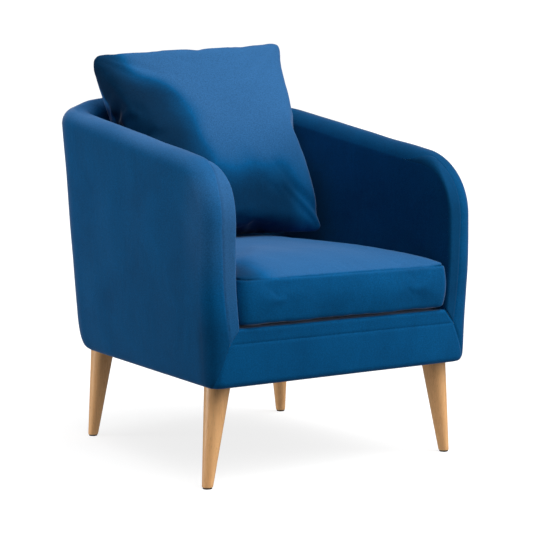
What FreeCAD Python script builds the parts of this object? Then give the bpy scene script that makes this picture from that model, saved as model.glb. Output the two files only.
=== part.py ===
"""Upholstered tub armchair: four splayed round legs, a padded wooden tub frame on wavy
seat springs, a loose box seat cushion and a loose scatter cushion in the back.

Millimetres. +X is to the right seen from the front, +Y runs to the back and +Z is up.
The origin is on the floor, under the middle of the chair. "left" is the -X side.
"""
import FreeCAD, Part
import Sketcher
import math
import os

from FreeCAD import Vector

doc = FreeCAD.newDocument("Armchair")

# ---------------------------------------------------------------- driving dimensions
SIZES = [
    ("BodyBottom", 203.0, "floor to the underside of the upholstered body"),
    ("FrontFace", -355.0, "y of the front faces of the arms"),
    ("CornerRadius", 110.0, "rear corner of the tub, seen from above"),
    ("BackRadius", 1400.0, "gentle bow across the back, seen from above"),
    ("BackBow", 10.0, "how far the middle of the back stands behind its corners"),
    ("WallThickness", 70.0, "arm and back, outer cover to inner cover"),
    ("CoverThickness", 2.0, "velvet cover with its backing"),
    ("BoardDepth", 7.0, "outer face to the inner face of the outside boards"),
    ("PanelDepth", 25.0, "outer face to the inner face of the plywood frame"),
    ("FrontPadding", 12.0, "foam on the front of the arms and of the front rail"),
    ("TopPadding", 28.0, "foam over the top edge of the frame"),
    ("ArmNoseCentre", 507.0, "height where the arm front starts to curl back"),
    ("ArmNoseRadius", 150.0, "curl at the top front of the arm"),
    ("ArmSlope", 0.167, "rise of the arm top per unit of length"),
    ("ArmLevel", 264.0, "y behind which the top edge stops rising along the arm"),
    ("BackCrown", 41.0, "how much higher the middle of the back is than its corners"),
    ("BackCrownHalf", 300.0, "half width over which that crown falls to nothing"),
    ("CrownStart", 80.0, "y in front of which the top edge has no crown"),
    ("CrownEnd", 300.0, "y behind which the top edge has its full crown"),
    ("SideSplit", 225.0, "y of the seam between the arm panels and the back panel"),
    ("RailBottom", 207.0, "underside of the frame rails"),
    ("RailTop", 296.0, "top of the frame rails"),
    ("RailThickness", 25.0, "solid wood rails"),
    ("FrontRailHalf", 287.0, "half length of the front rail"),
    ("RearRailHalf", 176.0, "half length of the rear rail"),
    ("RearRailFront", 255.0, "y of the front face of the rear rail"),
    ("SideRailFront", -262.0, "y of the front end of the side rails"),
    ("SideRailBack", 200.0, "y of the rear end of the side rails"),
    ("SideRailThickness", 22.0, "side rails"),
    ("BlockHeight", 40.0, "leg blocks in the corners of the frame"),
    ("FrontBlockInner", 215.0, "inner ends of the front leg blocks"),
    ("RearBlockReach", 22.0, "how far the rear leg blocks run past the rear rail's front"),
    ("BlockBottom", 205.5, "underside of the leg blocks, on the dust cover"),
    ("RailPaddingHalf", 256.0, "half length of the foam on the front rail"),
    ("PostLength", 30.0, "corner posts, measured along the arm"),
    ("TopRailHeight", 55.0, "bent plywood rail in the top of the back"),
    ("SlatWidth", 60.0, "upright slats of the back"),
    ("SlatSpacing", 130.0, "centre to centre of the back slats"),
    ("HoleRadius", 30.0, "round lightening holes in the arm panels"),
    ("HoleSpacing", 140.0, "centre to centre of the lightening holes, along the arm"),
    ("HoleRowMiddle", -60.0, "y of the middle lightening hole"),
    ("HoleRowHeight", 500.0, "height of the middle lightening hole"),
    ("FrontLegX", 273.2, "front leg, centre of its top"),
    ("FrontLegY", -296.8, "front leg, centre of its top"),
    ("FrontFootX", 300.9, "front leg, centre of its foot"),
    ("FrontFootY", -302.8, "front leg, centre of its foot"),
    ("RearLegX", 238.9, "rear leg, centre of its top"),
    ("RearLegY", 247.2, "rear leg, centre of its top"),
    ("RearFootX", 257.7, "rear leg, centre of its foot"),
    ("RearFootY", 263.5, "rear leg, centre of its foot"),
    ("LegTopRadius", 26.3, "leg, at the top"),
    ("LegFootRadius", 11.1, "leg, at the foot"),
    ("LegTop", 204.0, "height of the top of the legs, on the dust cover"),
    ("GlideThickness", 3.0, "nail-on glide under each foot"),
    ("GlideRadius", 9.5, "nail-on glide under each foot"),
    ("GlideNailRadius", 1.2, "nail of the glide"),
    ("GlideNailLength", 15.0, "nail of the glide, above the glide"),
    ("BoltRadius", 4.0, "M8 hanger bolt of each leg"),
    ("BoltBottom", 160.0, "lower end of the hanger bolt, inside the leg"),
    ("BoltTop", 252.0, "upper end of the hanger bolt"),
    ("NutBore", 4.05, "bore of the tee nut"),
    ("NutBarrel", 5.0, "outside of the tee nut's barrel"),
    ("NutFlange", 9.5, "flange of the tee nut"),
    ("NutFlangeThickness", 1.6, "flange of the tee nut"),
    ("NutLength", 14.0, "barrel of the tee nut below its flange"),
    ("NutHole", 5.05, "hole through the leg block"),
    ("DustCoverBottom", 204.0, "underside of the dust cover"),
    ("DustCoverThickness", 1.5, "dust cover cloth"),
    ("DustFrontHalf", 306.0, "dust cover, half width at the front"),
    ("DustRearHalf", 277.0, "dust cover, half width at the rear"),
    ("DustFront", -352.0, "dust cover, front edge"),
    ("DustBack", 309.0, "dust cover, rear edge"),
    ("DustCorner", 100.0, "dust cover, rear corners"),
    ("SpringWire", 1.9, "radius of the wavy spring's wire"),
    ("SpringPitch", 22.0, "distance between the spring's bars"),
    ("SpringHalfBar", 14.0, "half of the straight part of a bar"),
    ("SpringHeight", 298.6, "height of the springs' centre line"),
    ("SpringFront", -327.0, "y of the springs' first bar"),
    ("SpringBars", 28.0, "bars in one spring"),
    ("SpringSpacing", 80.0, "distance between neighbouring springs"),
    ("ClipWidth", 18.0, "steel spring clip"),
    ("ClipLength", 16.0, "steel spring clip"),
    ("ClipThickness", 1.2, "steel spring clip"),
    ("ClipHeadroom", 7.0, "rail top to the foam above the clips"),
    ("DeckPadBottom", 302.0, "underside of the foam deck on the springs"),
    ("DeckPadThickness", 15.0, "foam deck on the springs"),
    ("DeckCoverThickness", 1.6, "cloth over the deck"),
    ("DeckFrontHalf", 291.0, "deck, half width at the front"),
    ("DeckRearHalf", 268.0, "deck, half width at the rear"),
    ("DeckFront", -316.0, "deck, front edge"),
    ("DeckBack", 296.0, "deck, rear edge"),
    ("DeckCorner", 82.0, "deck, rear corners"),
    ("BandBottom", 289.0, "seam between the front border and the band above it"),
    ("BandTop", 318.6, "top of the band across the front rail"),
    ("BandOuter", 296.0, "seam between an arm's band and the outside cover"),
    ("BandBack", -235.0, "y where the arm band ends on top of the arm"),
    ("CushionBottom", 319.2, "underside of the seat cushion"),
    ("CushionThickness", 134.0, "seat cushion, with its crown"),
    ("CushionFrontHalf", 255.0, "seat cushion, half width at the front"),
    ("CushionRearHalf", 230.0, "seat cushion, half width at the rear"),
    ("CushionFront", -352.0, "seat cushion, front face"),
    ("CushionBack", 252.0, "seat cushion, rear face"),
    ("CushionCorner", 95.0, "seat cushion, rear corners"),
    ("CushionFrontCorner", 24.0, "seat cushion, front corners"),
    ("CushionEdge", 26.0, "seat cushion, rounded top and bottom edges"),
    ("CushionWrap", 4.0, "seat cushion cover with its fibre wrap"),
    ("CushionZipHalf", 120.0, "half length of the seat cushion's zip"),
    ("ZipHeight", 384.0, "height of the seat cushion's zip"),
    ("ZipTapeWidth", 24.0, "zip tape"),
    ("ZipTapeThickness", 1.5, "zip tape with its coil"),
    ("SliderLength", 12.0, "zip slider"),
    ("SliderWidth", 9.0, "zip slider"),
    ("SliderThickness", 3.0, "zip slider"),
    ("SliderGap", 0.4, "slider to tape"),
    ("PullLength", 22.0, "zip pull that hangs from the slider"),
    ("PillowX", -12.0, "middle of the scatter cushion"),
    ("PillowY", 148.0, "middle of the scatter cushion"),
    ("PillowZ", 670.2, "middle of the scatter cushion"),
    ("PillowLean", 25.0, "scatter cushion, lean back from upright, degrees"),
    ("PillowHalf", 236.0, "half side of the scatter cushion at its seam"),
    ("PillowShoulder", 0.93, "side at the shoulder, as a share of the seam's"),
    ("PillowFace", 0.60, "side at the flat of the face, as a share of the seam's"),
    ("PillowShoulderDepth", 40.0, "seam to shoulder, through the thickness"),
    ("PillowDepth", 68.0, "seam to the middle of the face"),
    ("PillowCover", 2.5, "scatter cushion cover"),
    ("PillowZipHalf", 130.0, "half length of the scatter cushion's zip"),
    ("PillowZipDrop", 122.0, "middle of the scatter cushion down to its zip"),
]

sheet = doc.addObject("Spreadsheet::Sheet", "Sizes")
for row, (alias, number, meaning) in enumerate(SIZES, start=1):
    sheet.set(f"A{row}", meaning)
    sheet.set(f"B{row}", str(number))
    sheet.setAlias(f"B{row}", alias)
doc.recompute()

# The tub's outer outline at four heights: half width at the front, half width where the
# rear corner starts, and the furthest back. Between the heights the wall is straight.
LEVELS = [
    ("Low", 203.0, 317.0, 284.0, 320.0),
    ("Waist", 240.0, 328.0, 298.0, 333.0),
    ("Middle", 430.0, 338.5, 311.0, 345.0),
    ("High", 830.0, 325.0, 332.0, 356.7),
]
level_sheet = doc.addObject("Spreadsheet::Sheet", "Levels")
LEVEL_COLUMNS = ("Height", "FrontHalf", "RearHalf", "Back")
for row, (name, *numbers) in enumerate(LEVELS, start=1):
    level_sheet.set(f"A{row}", name)
    for letter, column, number in zip("BCDE", LEVEL_COLUMNS, numbers):
        level_sheet.set(f"{letter}{row}", str(number))
        level_sheet.setAlias(f"{letter}{row}", name + column)
doc.recompute()

FAR = 2000.0     # further than any part of the chair
PAST = 80.0      # how far a raw wall runs out in front, before it is trimmed
CLEAR = 0.3      # assembly clearance inside the frame

# The net of points that the surface over the arms and the back is drawn through.
FRONT_HEIGHTS = (100.0, 200.0, 300.0, 400.0, 460.0)   # points up the arm front
NOSE_STEPS = 8           # points round the arm's nose
TOP_STEPS = 13           # points along the top
TOP_STEP = 60.0          # distance between them
TOP_COLUMNS = 13         # points from side to side
TOP_HALF_SPAN = 420.0    # half of the net's width


def size(alias):
    """A driving dimension, read from the sheet."""
    return float(sheet.get(alias))


def value(expression):
    """The number that an expression over the sheet gives now."""
    result = sheet.evalExpression(expression)
    return float(getattr(result, "Value", result))


# ---------------------------------------------------------------- parametric bodies


def new_body(label):
    body = doc.addObject("PartDesign::Body", "Body_" + label)
    body.Label = label
    return body


def new_sketch(body, role, offset="0"):
    """A sketch on one of the body's own origin planes, moved along its normal."""
    sketch = body.newObject("Sketcher::SketchObject", "Sketch")
    plane = [item for item in body.Origin.OriginFeatures if item.Role == role][0]
    sketch.AttachmentSupport = [(plane, "")]
    sketch.MapMode = "FlatFace"
    sketch.setExpression("AttachmentOffset.Base.z", offset)
    return sketch


def fix_point(sketch, geometry, vertex, place):
    """Holds one point of a sketch at two expressions."""
    for kind, expression in zip(("DistanceX", "DistanceY"), place):
        index = sketch.addConstraint(
            Sketcher.Constraint(kind, -1, 1, geometry, vertex, value(expression)))
        sketch.setExpression(f"Constraints[{index}]", expression)


def draw_polygon(sketch, places):
    """A closed polygon through places, each a pair of expressions."""
    points = [Vector(value(across), value(up), 0) for across, up in places]
    for index, point in enumerate(points):
        line = Part.LineSegment(point, points[(index + 1) % len(points)])
        sketch.addGeometry(line, False)
    for index in range(len(points)):
        following = (index + 1) % len(points)
        sketch.addConstraint(Sketcher.Constraint("Coincident", index, 2, following, 1))
    for index, place in enumerate(places):
        fix_point(sketch, index, 1, place)


def draw_circle(sketch, place, radius):
    """A circle of an expression's radius about a pair of expressions."""
    centre = Vector(value(place[0]), value(place[1]), 0)
    circle = Part.Circle(centre, Vector(0, 0, 1), value(radius))
    index = sketch.addGeometry(circle, False)
    fix_point(sketch, index, 3, place)
    held = sketch.addConstraint(Sketcher.Constraint("Radius", index, value(radius)))
    sketch.setExpression(f"Constraints[{held}]", radius)


def rectangle(left, right, low, high):
    return [(left, low), (right, low), (right, high), (left, high)]


def pad(body, sketch, length, both_ways=False):
    feature = body.newObject("PartDesign::Pad", "Pad")
    feature.Profile = sketch
    feature.setExpression("Length", length)
    if both_ways:
        feature.SideType = "Symmetric"
    doc.recompute()
    return feature


def pocket(body, sketch, length, upwards=False):
    """Cuts a sketch's area away, and makes sure that it did cut."""
    before = body.Shape.Volume
    feature = body.newObject("PartDesign::Pocket", "Pocket")
    feature.Profile = sketch
    feature.Reversed = upwards
    feature.setExpression("Length", length)
    doc.recompute()
    if body.Shape.Volume >= before - 1e-3:
        raise ValueError("the pocket in " + body.Label + " cuts nothing")
    return feature


def loft(body, sketches):
    feature = body.newObject("PartDesign::AdditiveLoft", "Loft")
    feature.Profile = sketches[0]
    feature.Sections = sketches[1:]
    feature.Ruled = True
    doc.recompute()
    return feature


def fillet(body, wanted, radius):
    """Rounds the edges of the body's tip for which wanted(edge) is true."""
    tip = body.Tip
    names = [f"Edge{i}" for i, edge in enumerate(tip.Shape.Edges, start=1) if wanted(edge)]
    feature = body.newObject("PartDesign::Fillet", "Fillet")
    feature.Base = (tip, names)
    feature.setExpression("Radius", radius)
    doc.recompute()
    return feature


def is_upright(edge):
    box = edge.BoundBox
    return box.XLength < 1e-6 and box.YLength < 1e-6


def is_level(edge):
    return edge.BoundBox.ZLength < 1e-6


def tub_plan(front_half, rear_half, front, back):
    """The four corners of a plan that narrows towards the back."""
    return [("-" + front_half, front), (front_half, front),
            (rear_half, back), ("-" + rear_half, back)]


def tub_slab(label, names, bottom, thickness, corner, front_corner=None, edge=None):
    """A level slab in the tub's plan, with rounded corners, in a body of its own."""
    body = new_body(label)
    sketch = new_sketch(body, "XY_Plane", bottom)
    draw_polygon(sketch, tub_plan(*names))
    pad(body, sketch, thickness)
    middle = 0.0
    fillet(body, lambda line: is_upright(line) and line.CenterOfMass.y > middle, corner)
    if front_corner:
        fillet(body, lambda line: is_upright(line) and line.CenterOfMass.y < middle, front_corner)
    if edge:
        fillet(body, is_level, edge)
    return body


def shape_feature(label, shape):
    """A piece whose shape is worked out by Part's functions."""
    solids = shape.Solids
    if not solids:
        raise ValueError(label + " has no solid")
    feature = doc.addObject("Part::Feature", "Piece_" + label)
    feature.Label = label
    feature.Shape = solids[0] if len(solids) == 1 else Part.makeCompound(solids)
    feature.Placement = FreeCAD.Placement()
    return feature


# ---------------------------------------------------------------- layers of the tub wall


def rounded_path(points, radii):
    """Straight runs between the points, joined by tangent arcs of the radii."""
    edges = []
    start = points[0]
    for before, corner, after, radius in zip(points, points[1:], points[2:], radii):
        back_along = (before - corner).normalize()
        on_along = (after - corner).normalize()
        half_turn = math.acos(back_along.dot(on_along)) / 2
        reach = radius / math.tan(half_turn)
        first = corner + back_along * reach
        last = corner + on_along * reach
        inward = (back_along + on_along).normalize()
        middle = corner + inward * (radius / math.sin(half_turn) - radius)
        edges.append(Part.LineSegment(start, first).toShape())
        edges.append(Part.Arc(first, middle, last).toShape())
        start = last
    edges.append(Part.LineSegment(start, points[-1]).toShape())
    return edges


def level_value(level, column):
    return float(level_sheet.get(level + column))


def tub_outline(level, depth):
    """The open outline of the tub at one level, depth inside its outer face."""
    height = level_value(level, "Height")
    front_half = level_value(level, "FrontHalf") - depth
    rear_half = level_value(level, "RearHalf") - depth
    back = level_value(level, "Back") - depth
    corner_y = back - size("BackBow")
    front = size("FrontFace") - PAST
    points = [
        Vector(-front_half, front, height),
        Vector(-rear_half, corner_y, height),
        Vector(0, back, height),
        Vector(rear_half, corner_y, height),
        Vector(front_half, front, height),
    ]
    corner = size("CornerRadius") - depth
    return points, [corner, size("BackRadius") - depth, corner]


def wall(outer_depth, inner_depth):
    """The tub's wall between two depths, from the body's bottom to above its top."""
    sections = []
    for name, *_ in LEVELS:
        outer, outer_radii = tub_outline(name, outer_depth)
        inner, inner_radii = tub_outline(name, inner_depth)
        edges = rounded_path(outer, outer_radii)
        edges.append(Part.LineSegment(outer[-1], inner[-1]).toShape())
        edges += rounded_path(inner[::-1], inner_radii[::-1])
        edges.append(Part.LineSegment(inner[0], outer[0]).toShape())
        sections.append(Part.Wire(edges))
    return Part.makeLoft(sections, True, True)


def smooth_step(number, low, high):
    share = max(0.0, min(1.0, (number - low) / (high - low)))
    return share * share * (3 - 2 * share)


def side_profile():
    """Points (y, z) of the arm's front and top edge, from the floor to behind the back."""
    radius = size("ArmNoseRadius")
    slope = math.atan(size("ArmSlope"))
    centre_y = size("FrontFace") + radius
    centre_z = size("ArmNoseCentre")
    profile = [(size("FrontFace"), height) for height in FRONT_HEIGHTS]
    for step in range(NOSE_STEPS + 1):
        turn = (math.pi / 2 - slope) * step / NOSE_STEPS
        profile.append((centre_y - radius * math.cos(turn), centre_z + radius * math.sin(turn)))
    start_y, start_z = profile[-1]
    for step in range(1, TOP_STEPS + 1):
        y = start_y + TOP_STEP * step
        level_share = smooth_step(y, size("ArmLevel") - TOP_STEP,
                                  size("ArmLevel") + 2 * TOP_STEP)
        straight = start_z + (y - start_y) * size("ArmSlope")
        flat = start_z + (size("ArmLevel") - start_y) * size("ArmSlope")
        profile.append((y, straight + (flat - straight) * level_share))
    return profile


def envelope(front_inset, top_inset):
    """Everything behind the arm fronts and below the top edge, set in by two amounts."""
    rows = []
    for y, z in side_profile():
        share = smooth_step(y, size("CrownStart"), size("CrownEnd"))
        row = []
        for column in range(TOP_COLUMNS):
            x = -TOP_HALF_SPAN + 2 * TOP_HALF_SPAN * column / (TOP_COLUMNS - 1)
            crown = size("BackCrown") * (1 - (x / size("BackCrownHalf")) ** 2)
            row.append(Vector(x, y + front_inset, z + crown * share - top_inset))
        rows.append(row)
    surface = Part.BSplineSurface()
    surface.interpolate(rows)
    solid = surface.toShape().extrude(Vector(0, FAR, -FAR / 2))
    if solid.Volume < 0:
        solid.reverse()
    return solid


def block(x_range, y_range, z_range):
    """A box between two corners, used to cut layers into pieces."""
    low = Vector(x_range[0], y_range[0], z_range[0])
    return Part.makeBox(x_range[1] - x_range[0], y_range[1] - y_range[0],
                        z_range[1] - z_range[0], low)


COVER = size("CoverThickness")
BOARD = size("BoardDepth")
PANEL = size("PanelDepth")
INNER = size("WallThickness")
SPLIT = size("SideSplit")
FRONT = size("FrontFace")
EVERY = (-FAR, FAR)
LEFT, RIGHT, MIDDLE = "left", "right", "back"

cover_envelope = envelope(0, 0)
pad_envelope = envelope(COVER, COVER)
frame_envelope = envelope(COVER + size("FrontPadding"), COVER + size("TopPadding"))
skin_wall = wall(0, COVER)
board_wall = wall(COVER, BOARD)
panel_wall = wall(BOARD, PANEL)
outer_pad_wall = wall(COVER, PANEL)
inner_pad_wall = wall(PANEL, INNER - COVER)
inner_skin_wall = wall(INNER - COVER, INNER)
full_wall = wall(0, INNER)

SEGMENTS = {
    LEFT: block((-FAR, 0), (-FAR, SPLIT), EVERY),
    RIGHT: block((0, FAR), (-FAR, SPLIT), EVERY),
    MIDDLE: block(EVERY, (SPLIT, FAR), EVERY),
}
DECK_LEVEL = size("BandTop")
above_deck = block(EVERY, EVERY, (DECK_LEVEL, FAR))
front_zone = block(EVERY, (-FAR, size("BandBack")), EVERY)
behind_front = block(EVERY, (size("BandBack"), FAR), EVERY)
sides_of_band = [block((-FAR, -size("BandOuter")), EVERY, EVERY),
                 block((size("BandOuter"), FAR), EVERY, EVERY)]
band_zone = block((-size("BandOuter"), size("BandOuter")), EVERY, (DECK_LEVEL, FAR))

edge_skin = full_wall.common(cover_envelope).cut(pad_envelope)
front_skin = edge_skin.common(front_zone)
top_skin = edge_skin.common(behind_front)

# ---------------------------------------------------------------- covers
outer_skin = skin_wall.common(pad_envelope)
outer_front = Part.makeCompound([front_skin.common(side) for side in sides_of_band])
outside = outer_skin.fuse([outer_front, top_skin])
inside = inner_skin_wall.common(pad_envelope).common(above_deck)
for name, segment in SEGMENTS.items():
    shape_feature("outside_cover_" + name, outside.common(segment))
    shape_feature("inside_cover_" + name, inside.common(segment))
band = front_skin.common(band_zone)
shape_feature("facing_band_left", band.common(SEGMENTS[LEFT]))
shape_feature("facing_band_right", band.common(SEGMENTS[RIGHT]))

# ---------------------------------------------------------------- plywood frame
frame_layer = panel_wall.common(frame_envelope)
frame_layer = frame_layer.common(block(EVERY, EVERY, (size("RailBottom"), FAR)))
post_start = SPLIT - size("PostLength")


def lightening_holes():
    """Round holes through both arm panels, in a row that follows the slope of the arm."""
    bars = []
    spacing = size("HoleSpacing")
    for step in (-1, 0, 1):
        y = size("HoleRowMiddle") + step * spacing
        z = size("HoleRowHeight") + step * spacing * size("ArmSlope")
        start = Vector(-FAR / 2, y, z)
        bars.append(Part.makeCylinder(size("HoleRadius"), FAR, start, Vector(1, 0, 0)))
    return bars


arm_layer = frame_layer.common(block(EVERY, (-FAR, post_start), EVERY))
arm_layer = arm_layer.cut(lightening_holes())
post_layer = frame_layer.common(block(EVERY, (post_start, SPLIT), EVERY))
for name in (LEFT, RIGHT):
    shape_feature("arm_panel_" + name, arm_layer.common(SEGMENTS[name]))
    shape_feature("corner_post_" + name, post_layer.common(SEGMENTS[name]))

below_top_rail = envelope(COVER + size("FrontPadding"),
                          COVER + size("TopPadding") + size("TopRailHeight"))
back_layer = frame_layer.common(SEGMENTS[MIDDLE])
bottom_zone = block(EVERY, EVERY, (-FAR, size("RailTop")))
shape_feature("back_top_rail", back_layer.cut(below_top_rail))
shape_feature("back_bottom_rail", back_layer.common(bottom_zone))
slat_layer = back_layer.common(below_top_rail).cut(bottom_zone)
slats = []
for step in (-1, 0, 1):
    centre = step * size("SlatSpacing")
    half = size("SlatWidth") / 2
    slats.append(slat_layer.common(block((centre - half, centre + half), EVERY, EVERY)))
shape_feature("back_slats", Part.makeCompound(slats))

# ---------------------------------------------------------------- solid wood rails


def beam(label, left, right, front, back, bottom, top):
    """A straight rail between expressions for its six faces."""
    body = new_body(label)
    sketch = new_sketch(body, "XY_Plane", bottom)
    draw_polygon(sketch, rectangle(left, right, front, back))
    pad(body, sketch, f"{top} - {bottom}")
    return body


front_rail_y = "Sizes.FrontFace + Sizes.CoverThickness + Sizes.FrontPadding"
front_rail = beam("front_rail", "-Sizes.FrontRailHalf", "Sizes.FrontRailHalf", front_rail_y,
                  front_rail_y + " + Sizes.RailThickness", "Sizes.RailBottom", "Sizes.RailTop")
rear_rail = beam("rear_rail", "-Sizes.RearRailHalf", "Sizes.RearRailHalf", "Sizes.RearRailFront",
                 "Sizes.RearRailFront + Sizes.RailThickness", "Sizes.RailBottom",
                 "Sizes.RailTop")


def half_width_at(level, depth, y):
    """Half width of the straight side of the tub at one level and depth."""
    points, _ = tub_outline(level, depth)
    front_point, rear_point = points[4], points[3]
    share = (y - front_point.y) / (rear_point.y - front_point.y)
    return front_point.x + (rear_point.x - front_point.x) * share


def side_rail(label, side):
    """A rail along the foot of the arm panel, between the two leg blocks."""
    front = size("SideRailFront") + CLEAR
    back = size("SideRailBack") - CLEAR
    depth = PANEL + CLEAR
    outer_front = half_width_at("Low", depth, front)
    outer_back = half_width_at("Low", depth, back)
    thick = size("SideRailThickness")
    points = [Vector(side * outer_front, front, 0), Vector(side * outer_back, back, 0),
              Vector(side * (outer_back - thick), back, 0),
              Vector(side * (outer_front - thick), front, 0)]
    face = Part.Face(Part.makePolygon(points + [points[0]]))
    face.translate(Vector(0, 0, size("RailBottom")))
    rise = size("RailTop") - size("RailBottom")
    return shape_feature(label, face.extrude(Vector(0, 0, rise)))


def leg_block(label, side, leg, x_inner, y_range):
    """A block in the corner of the frame, shaped to the inside of the tub wall."""
    bottom = size("BlockBottom")
    outer, radii = tub_outline("Low", PANEL + CLEAR)
    outline = rounded_path(outer, radii)
    outline.append(Part.LineSegment(outer[-1], outer[0]).toShape())
    floor = Part.Face(Part.Wire(outline))
    floor.translate(Vector(0, 0, bottom - floor.BoundBox.ZMin))
    inside_tub = floor.extrude(Vector(0, 0, size("BlockHeight")))
    x_range = sorted((side * x_inner, side * FAR))
    body = inside_tub.common(block(x_range, y_range, EVERY))
    centre = Vector(side * size(leg + "LegX"), size(leg + "LegY"), bottom - 1)
    hole = Part.makeCylinder(size("NutHole"), size("BlockHeight") + 2, centre)
    return shape_feature(label, body.cut(hole))


for side, name in ((-1, LEFT), (1, RIGHT)):
    side_rail("side_rail_" + name, side)
    front_of_rail = value(front_rail_y) + size("RailThickness")
    leg_block("leg_block_front_" + name, side, "Front", size("FrontBlockInner"),
              (front_of_rail + CLEAR, size("SideRailFront") - CLEAR))
    leg_block("leg_block_rear_" + name, side, "Rear", size("RearRailHalf") + CLEAR,
              (size("SideRailBack") + CLEAR, size("RearRailFront") + size("RearBlockReach")))

# ---------------------------------------------------------------- legs and their hardware
CORNERS = [(end, side) for end in ("Front", "Rear") for side in (-1, 1)]
for end, side in CORNERS:
    sign = "-" if side < 0 else ""
    label = "leg_" + end.lower() + ("_left" if side < 0 else "_right")
    leg = new_body(label)
    foot = new_sketch(leg, "XY_Plane", "Sizes.GlideThickness")
    draw_circle(foot, (f"{sign}Sizes.{end}FootX", f"Sizes.{end}FootY"), "Sizes.LegFootRadius")
    top = new_sketch(leg, "XY_Plane", "Sizes.LegTop")
    draw_circle(top, (f"{sign}Sizes.{end}LegX", f"Sizes.{end}LegY"), "Sizes.LegTopRadius")
    loft(leg, [foot, top])
    bolt_hole = new_sketch(leg, "XY_Plane", "Sizes.LegTop")
    draw_circle(bolt_hole, (f"{sign}Sizes.{end}LegX", f"Sizes.{end}LegY"), "Sizes.BoltRadius")
    pocket(leg, bolt_hole, "Sizes.LegTop - Sizes.BoltBottom")
    nail_hole = new_sketch(leg, "XY_Plane", "Sizes.GlideThickness")
    draw_circle(nail_hole, (f"{sign}Sizes.{end}FootX", f"Sizes.{end}FootY"),
                "Sizes.GlideNailRadius")
    pocket(leg, nail_hole, "Sizes.GlideNailLength", upwards=True)


def cylinder(radius, low, high, x, y):
    return Part.makeCylinder(radius, high - low, Vector(x, y, low))


glides, bolts, nuts = [], [], []
for end, side in CORNERS:
    foot_x, foot_y = side * size(end + "FootX"), size(end + "FootY")
    glide_top = size("GlideThickness")
    disc = cylinder(size("GlideRadius"), 0, glide_top, foot_x, foot_y)
    bottom_rim = [edge for edge in disc.Edges
                  if edge.BoundBox.ZMax < 1e-6 and len(edge.Vertexes) == 1]
    disc = disc.makeFillet(glide_top / 3, bottom_rim)
    nail = cylinder(size("GlideNailRadius"), glide_top / 2,
                    glide_top + size("GlideNailLength"), foot_x, foot_y)
    glides.append(disc.fuse(nail))

    x, y = side * size(end + "LegX"), size(end + "LegY")
    bolts.append(cylinder(size("BoltRadius"), size("BoltBottom"), size("BoltTop"), x, y))
    nut_top = size("BlockBottom") + size("BlockHeight")
    flange = cylinder(size("NutFlange"), nut_top, nut_top + size("NutFlangeThickness"), x, y)
    barrel = cylinder(size("NutBarrel"), nut_top - size("NutLength"), nut_top, x, y)
    bore = cylinder(size("NutBore"), 0, FAR, x, y)
    nuts.append(flange.fuse(barrel).cut(bore))
shape_feature("foot_glides", Part.makeCompound(glides))
shape_feature("hanger_bolts", Part.makeCompound(bolts))
shape_feature("tee_nuts", Part.makeCompound(nuts))

# ---------------------------------------------------------------- seat springs and clips
SPRING_PLACES = [step * size("SpringSpacing") for step in (-2, -1, 0, 1, 2)]


def wavy_spring(x):
    """Bars across the seat joined by half circles, one wire from front to back."""
    half_bar = size("SpringHalfBar")
    pitch = size("SpringPitch")
    height = size("SpringHeight")
    edges = []
    bars = int(size("SpringBars"))
    for bar in range(bars):
        y = size("SpringFront") + bar * pitch
        way = 1 if bar % 2 == 0 else -1
        start = Vector(x - way * half_bar, y, height)
        end = Vector(x + way * half_bar, y, height)
        edges.append(Part.LineSegment(start, end).toShape())
        if bar < bars - 1:
            turn = Vector(x + way * (half_bar + pitch / 2), y + pitch / 2, height)
            after = Vector(x + way * half_bar, y + pitch, height)
            edges.append(Part.Arc(end, turn, after).toShape())
    path = Part.Wire(edges)
    first = Vector(x - half_bar, size("SpringFront"), height)
    section = Part.Wire(Part.makeCircle(size("SpringWire"), first, Vector(1, 0, 0)))
    return path.makePipeShell([section], True, False)


def spring_clip(x, y):
    """A folded steel clip that holds a spring's end bar down on the rail."""
    half = size("ClipWidth") / 2
    length = size("ClipLength")
    thick = size("ClipThickness")
    rail = size("RailTop")
    bar_top = size("SpringHeight") + size("SpringWire")
    base = block((x - half, x + half), (y - length / 2, y + length / 2), (rail, rail + thick / 2))
    back = block((x - half, x + half), (y + length / 2, y + length / 2 + thick),
                 (rail, bar_top + thick))
    roof = block((x - half, x + half), (y - length / 2, y + length / 2 + thick),
                 (bar_top, bar_top + thick))
    return base.fuse([back, roof]).removeSplitter()


shape_feature("seat_springs", Part.makeCompound([wavy_spring(x) for x in SPRING_PLACES]))
last_bar = size("SpringFront") + (size("SpringBars") - 1) * size("SpringPitch")
clip_places = [(x, y) for x in SPRING_PLACES for y in (size("SpringFront"), last_bar)]
shape_feature("spring_clips", Part.makeCompound([spring_clip(x, y) for x, y in clip_places]))

# ---------------------------------------------------------------- deck and dust cover
DECK = ("Sizes.DeckFrontHalf", "Sizes.DeckRearHalf", "Sizes.DeckFront", "Sizes.DeckBack")
tub_slab("deck_pad", DECK, "Sizes.DeckPadBottom", "Sizes.DeckPadThickness", "Sizes.DeckCorner")
tub_slab("deck_cover", DECK, "Sizes.DeckPadBottom + Sizes.DeckPadThickness",
         "Sizes.DeckCoverThickness", "Sizes.DeckCorner")
dust_cover = tub_slab("dust_cover", ("Sizes.DustFrontHalf", "Sizes.DustRearHalf",
                                     "Sizes.DustFront", "Sizes.DustBack"),
                      "Sizes.DustCoverBottom", "Sizes.DustCoverThickness", "Sizes.DustCorner")
for end, side in CORNERS:
    sign = "-" if side < 0 else ""
    hole = new_sketch(dust_cover, "XY_Plane", "Sizes.DustCoverBottom")
    draw_circle(hole, (f"{sign}Sizes.{end}LegX", f"Sizes.{end}LegY"), "Sizes.NutHole")
    pocket(dust_cover, hole, "Sizes.DustCoverThickness", upwards=True)

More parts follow.
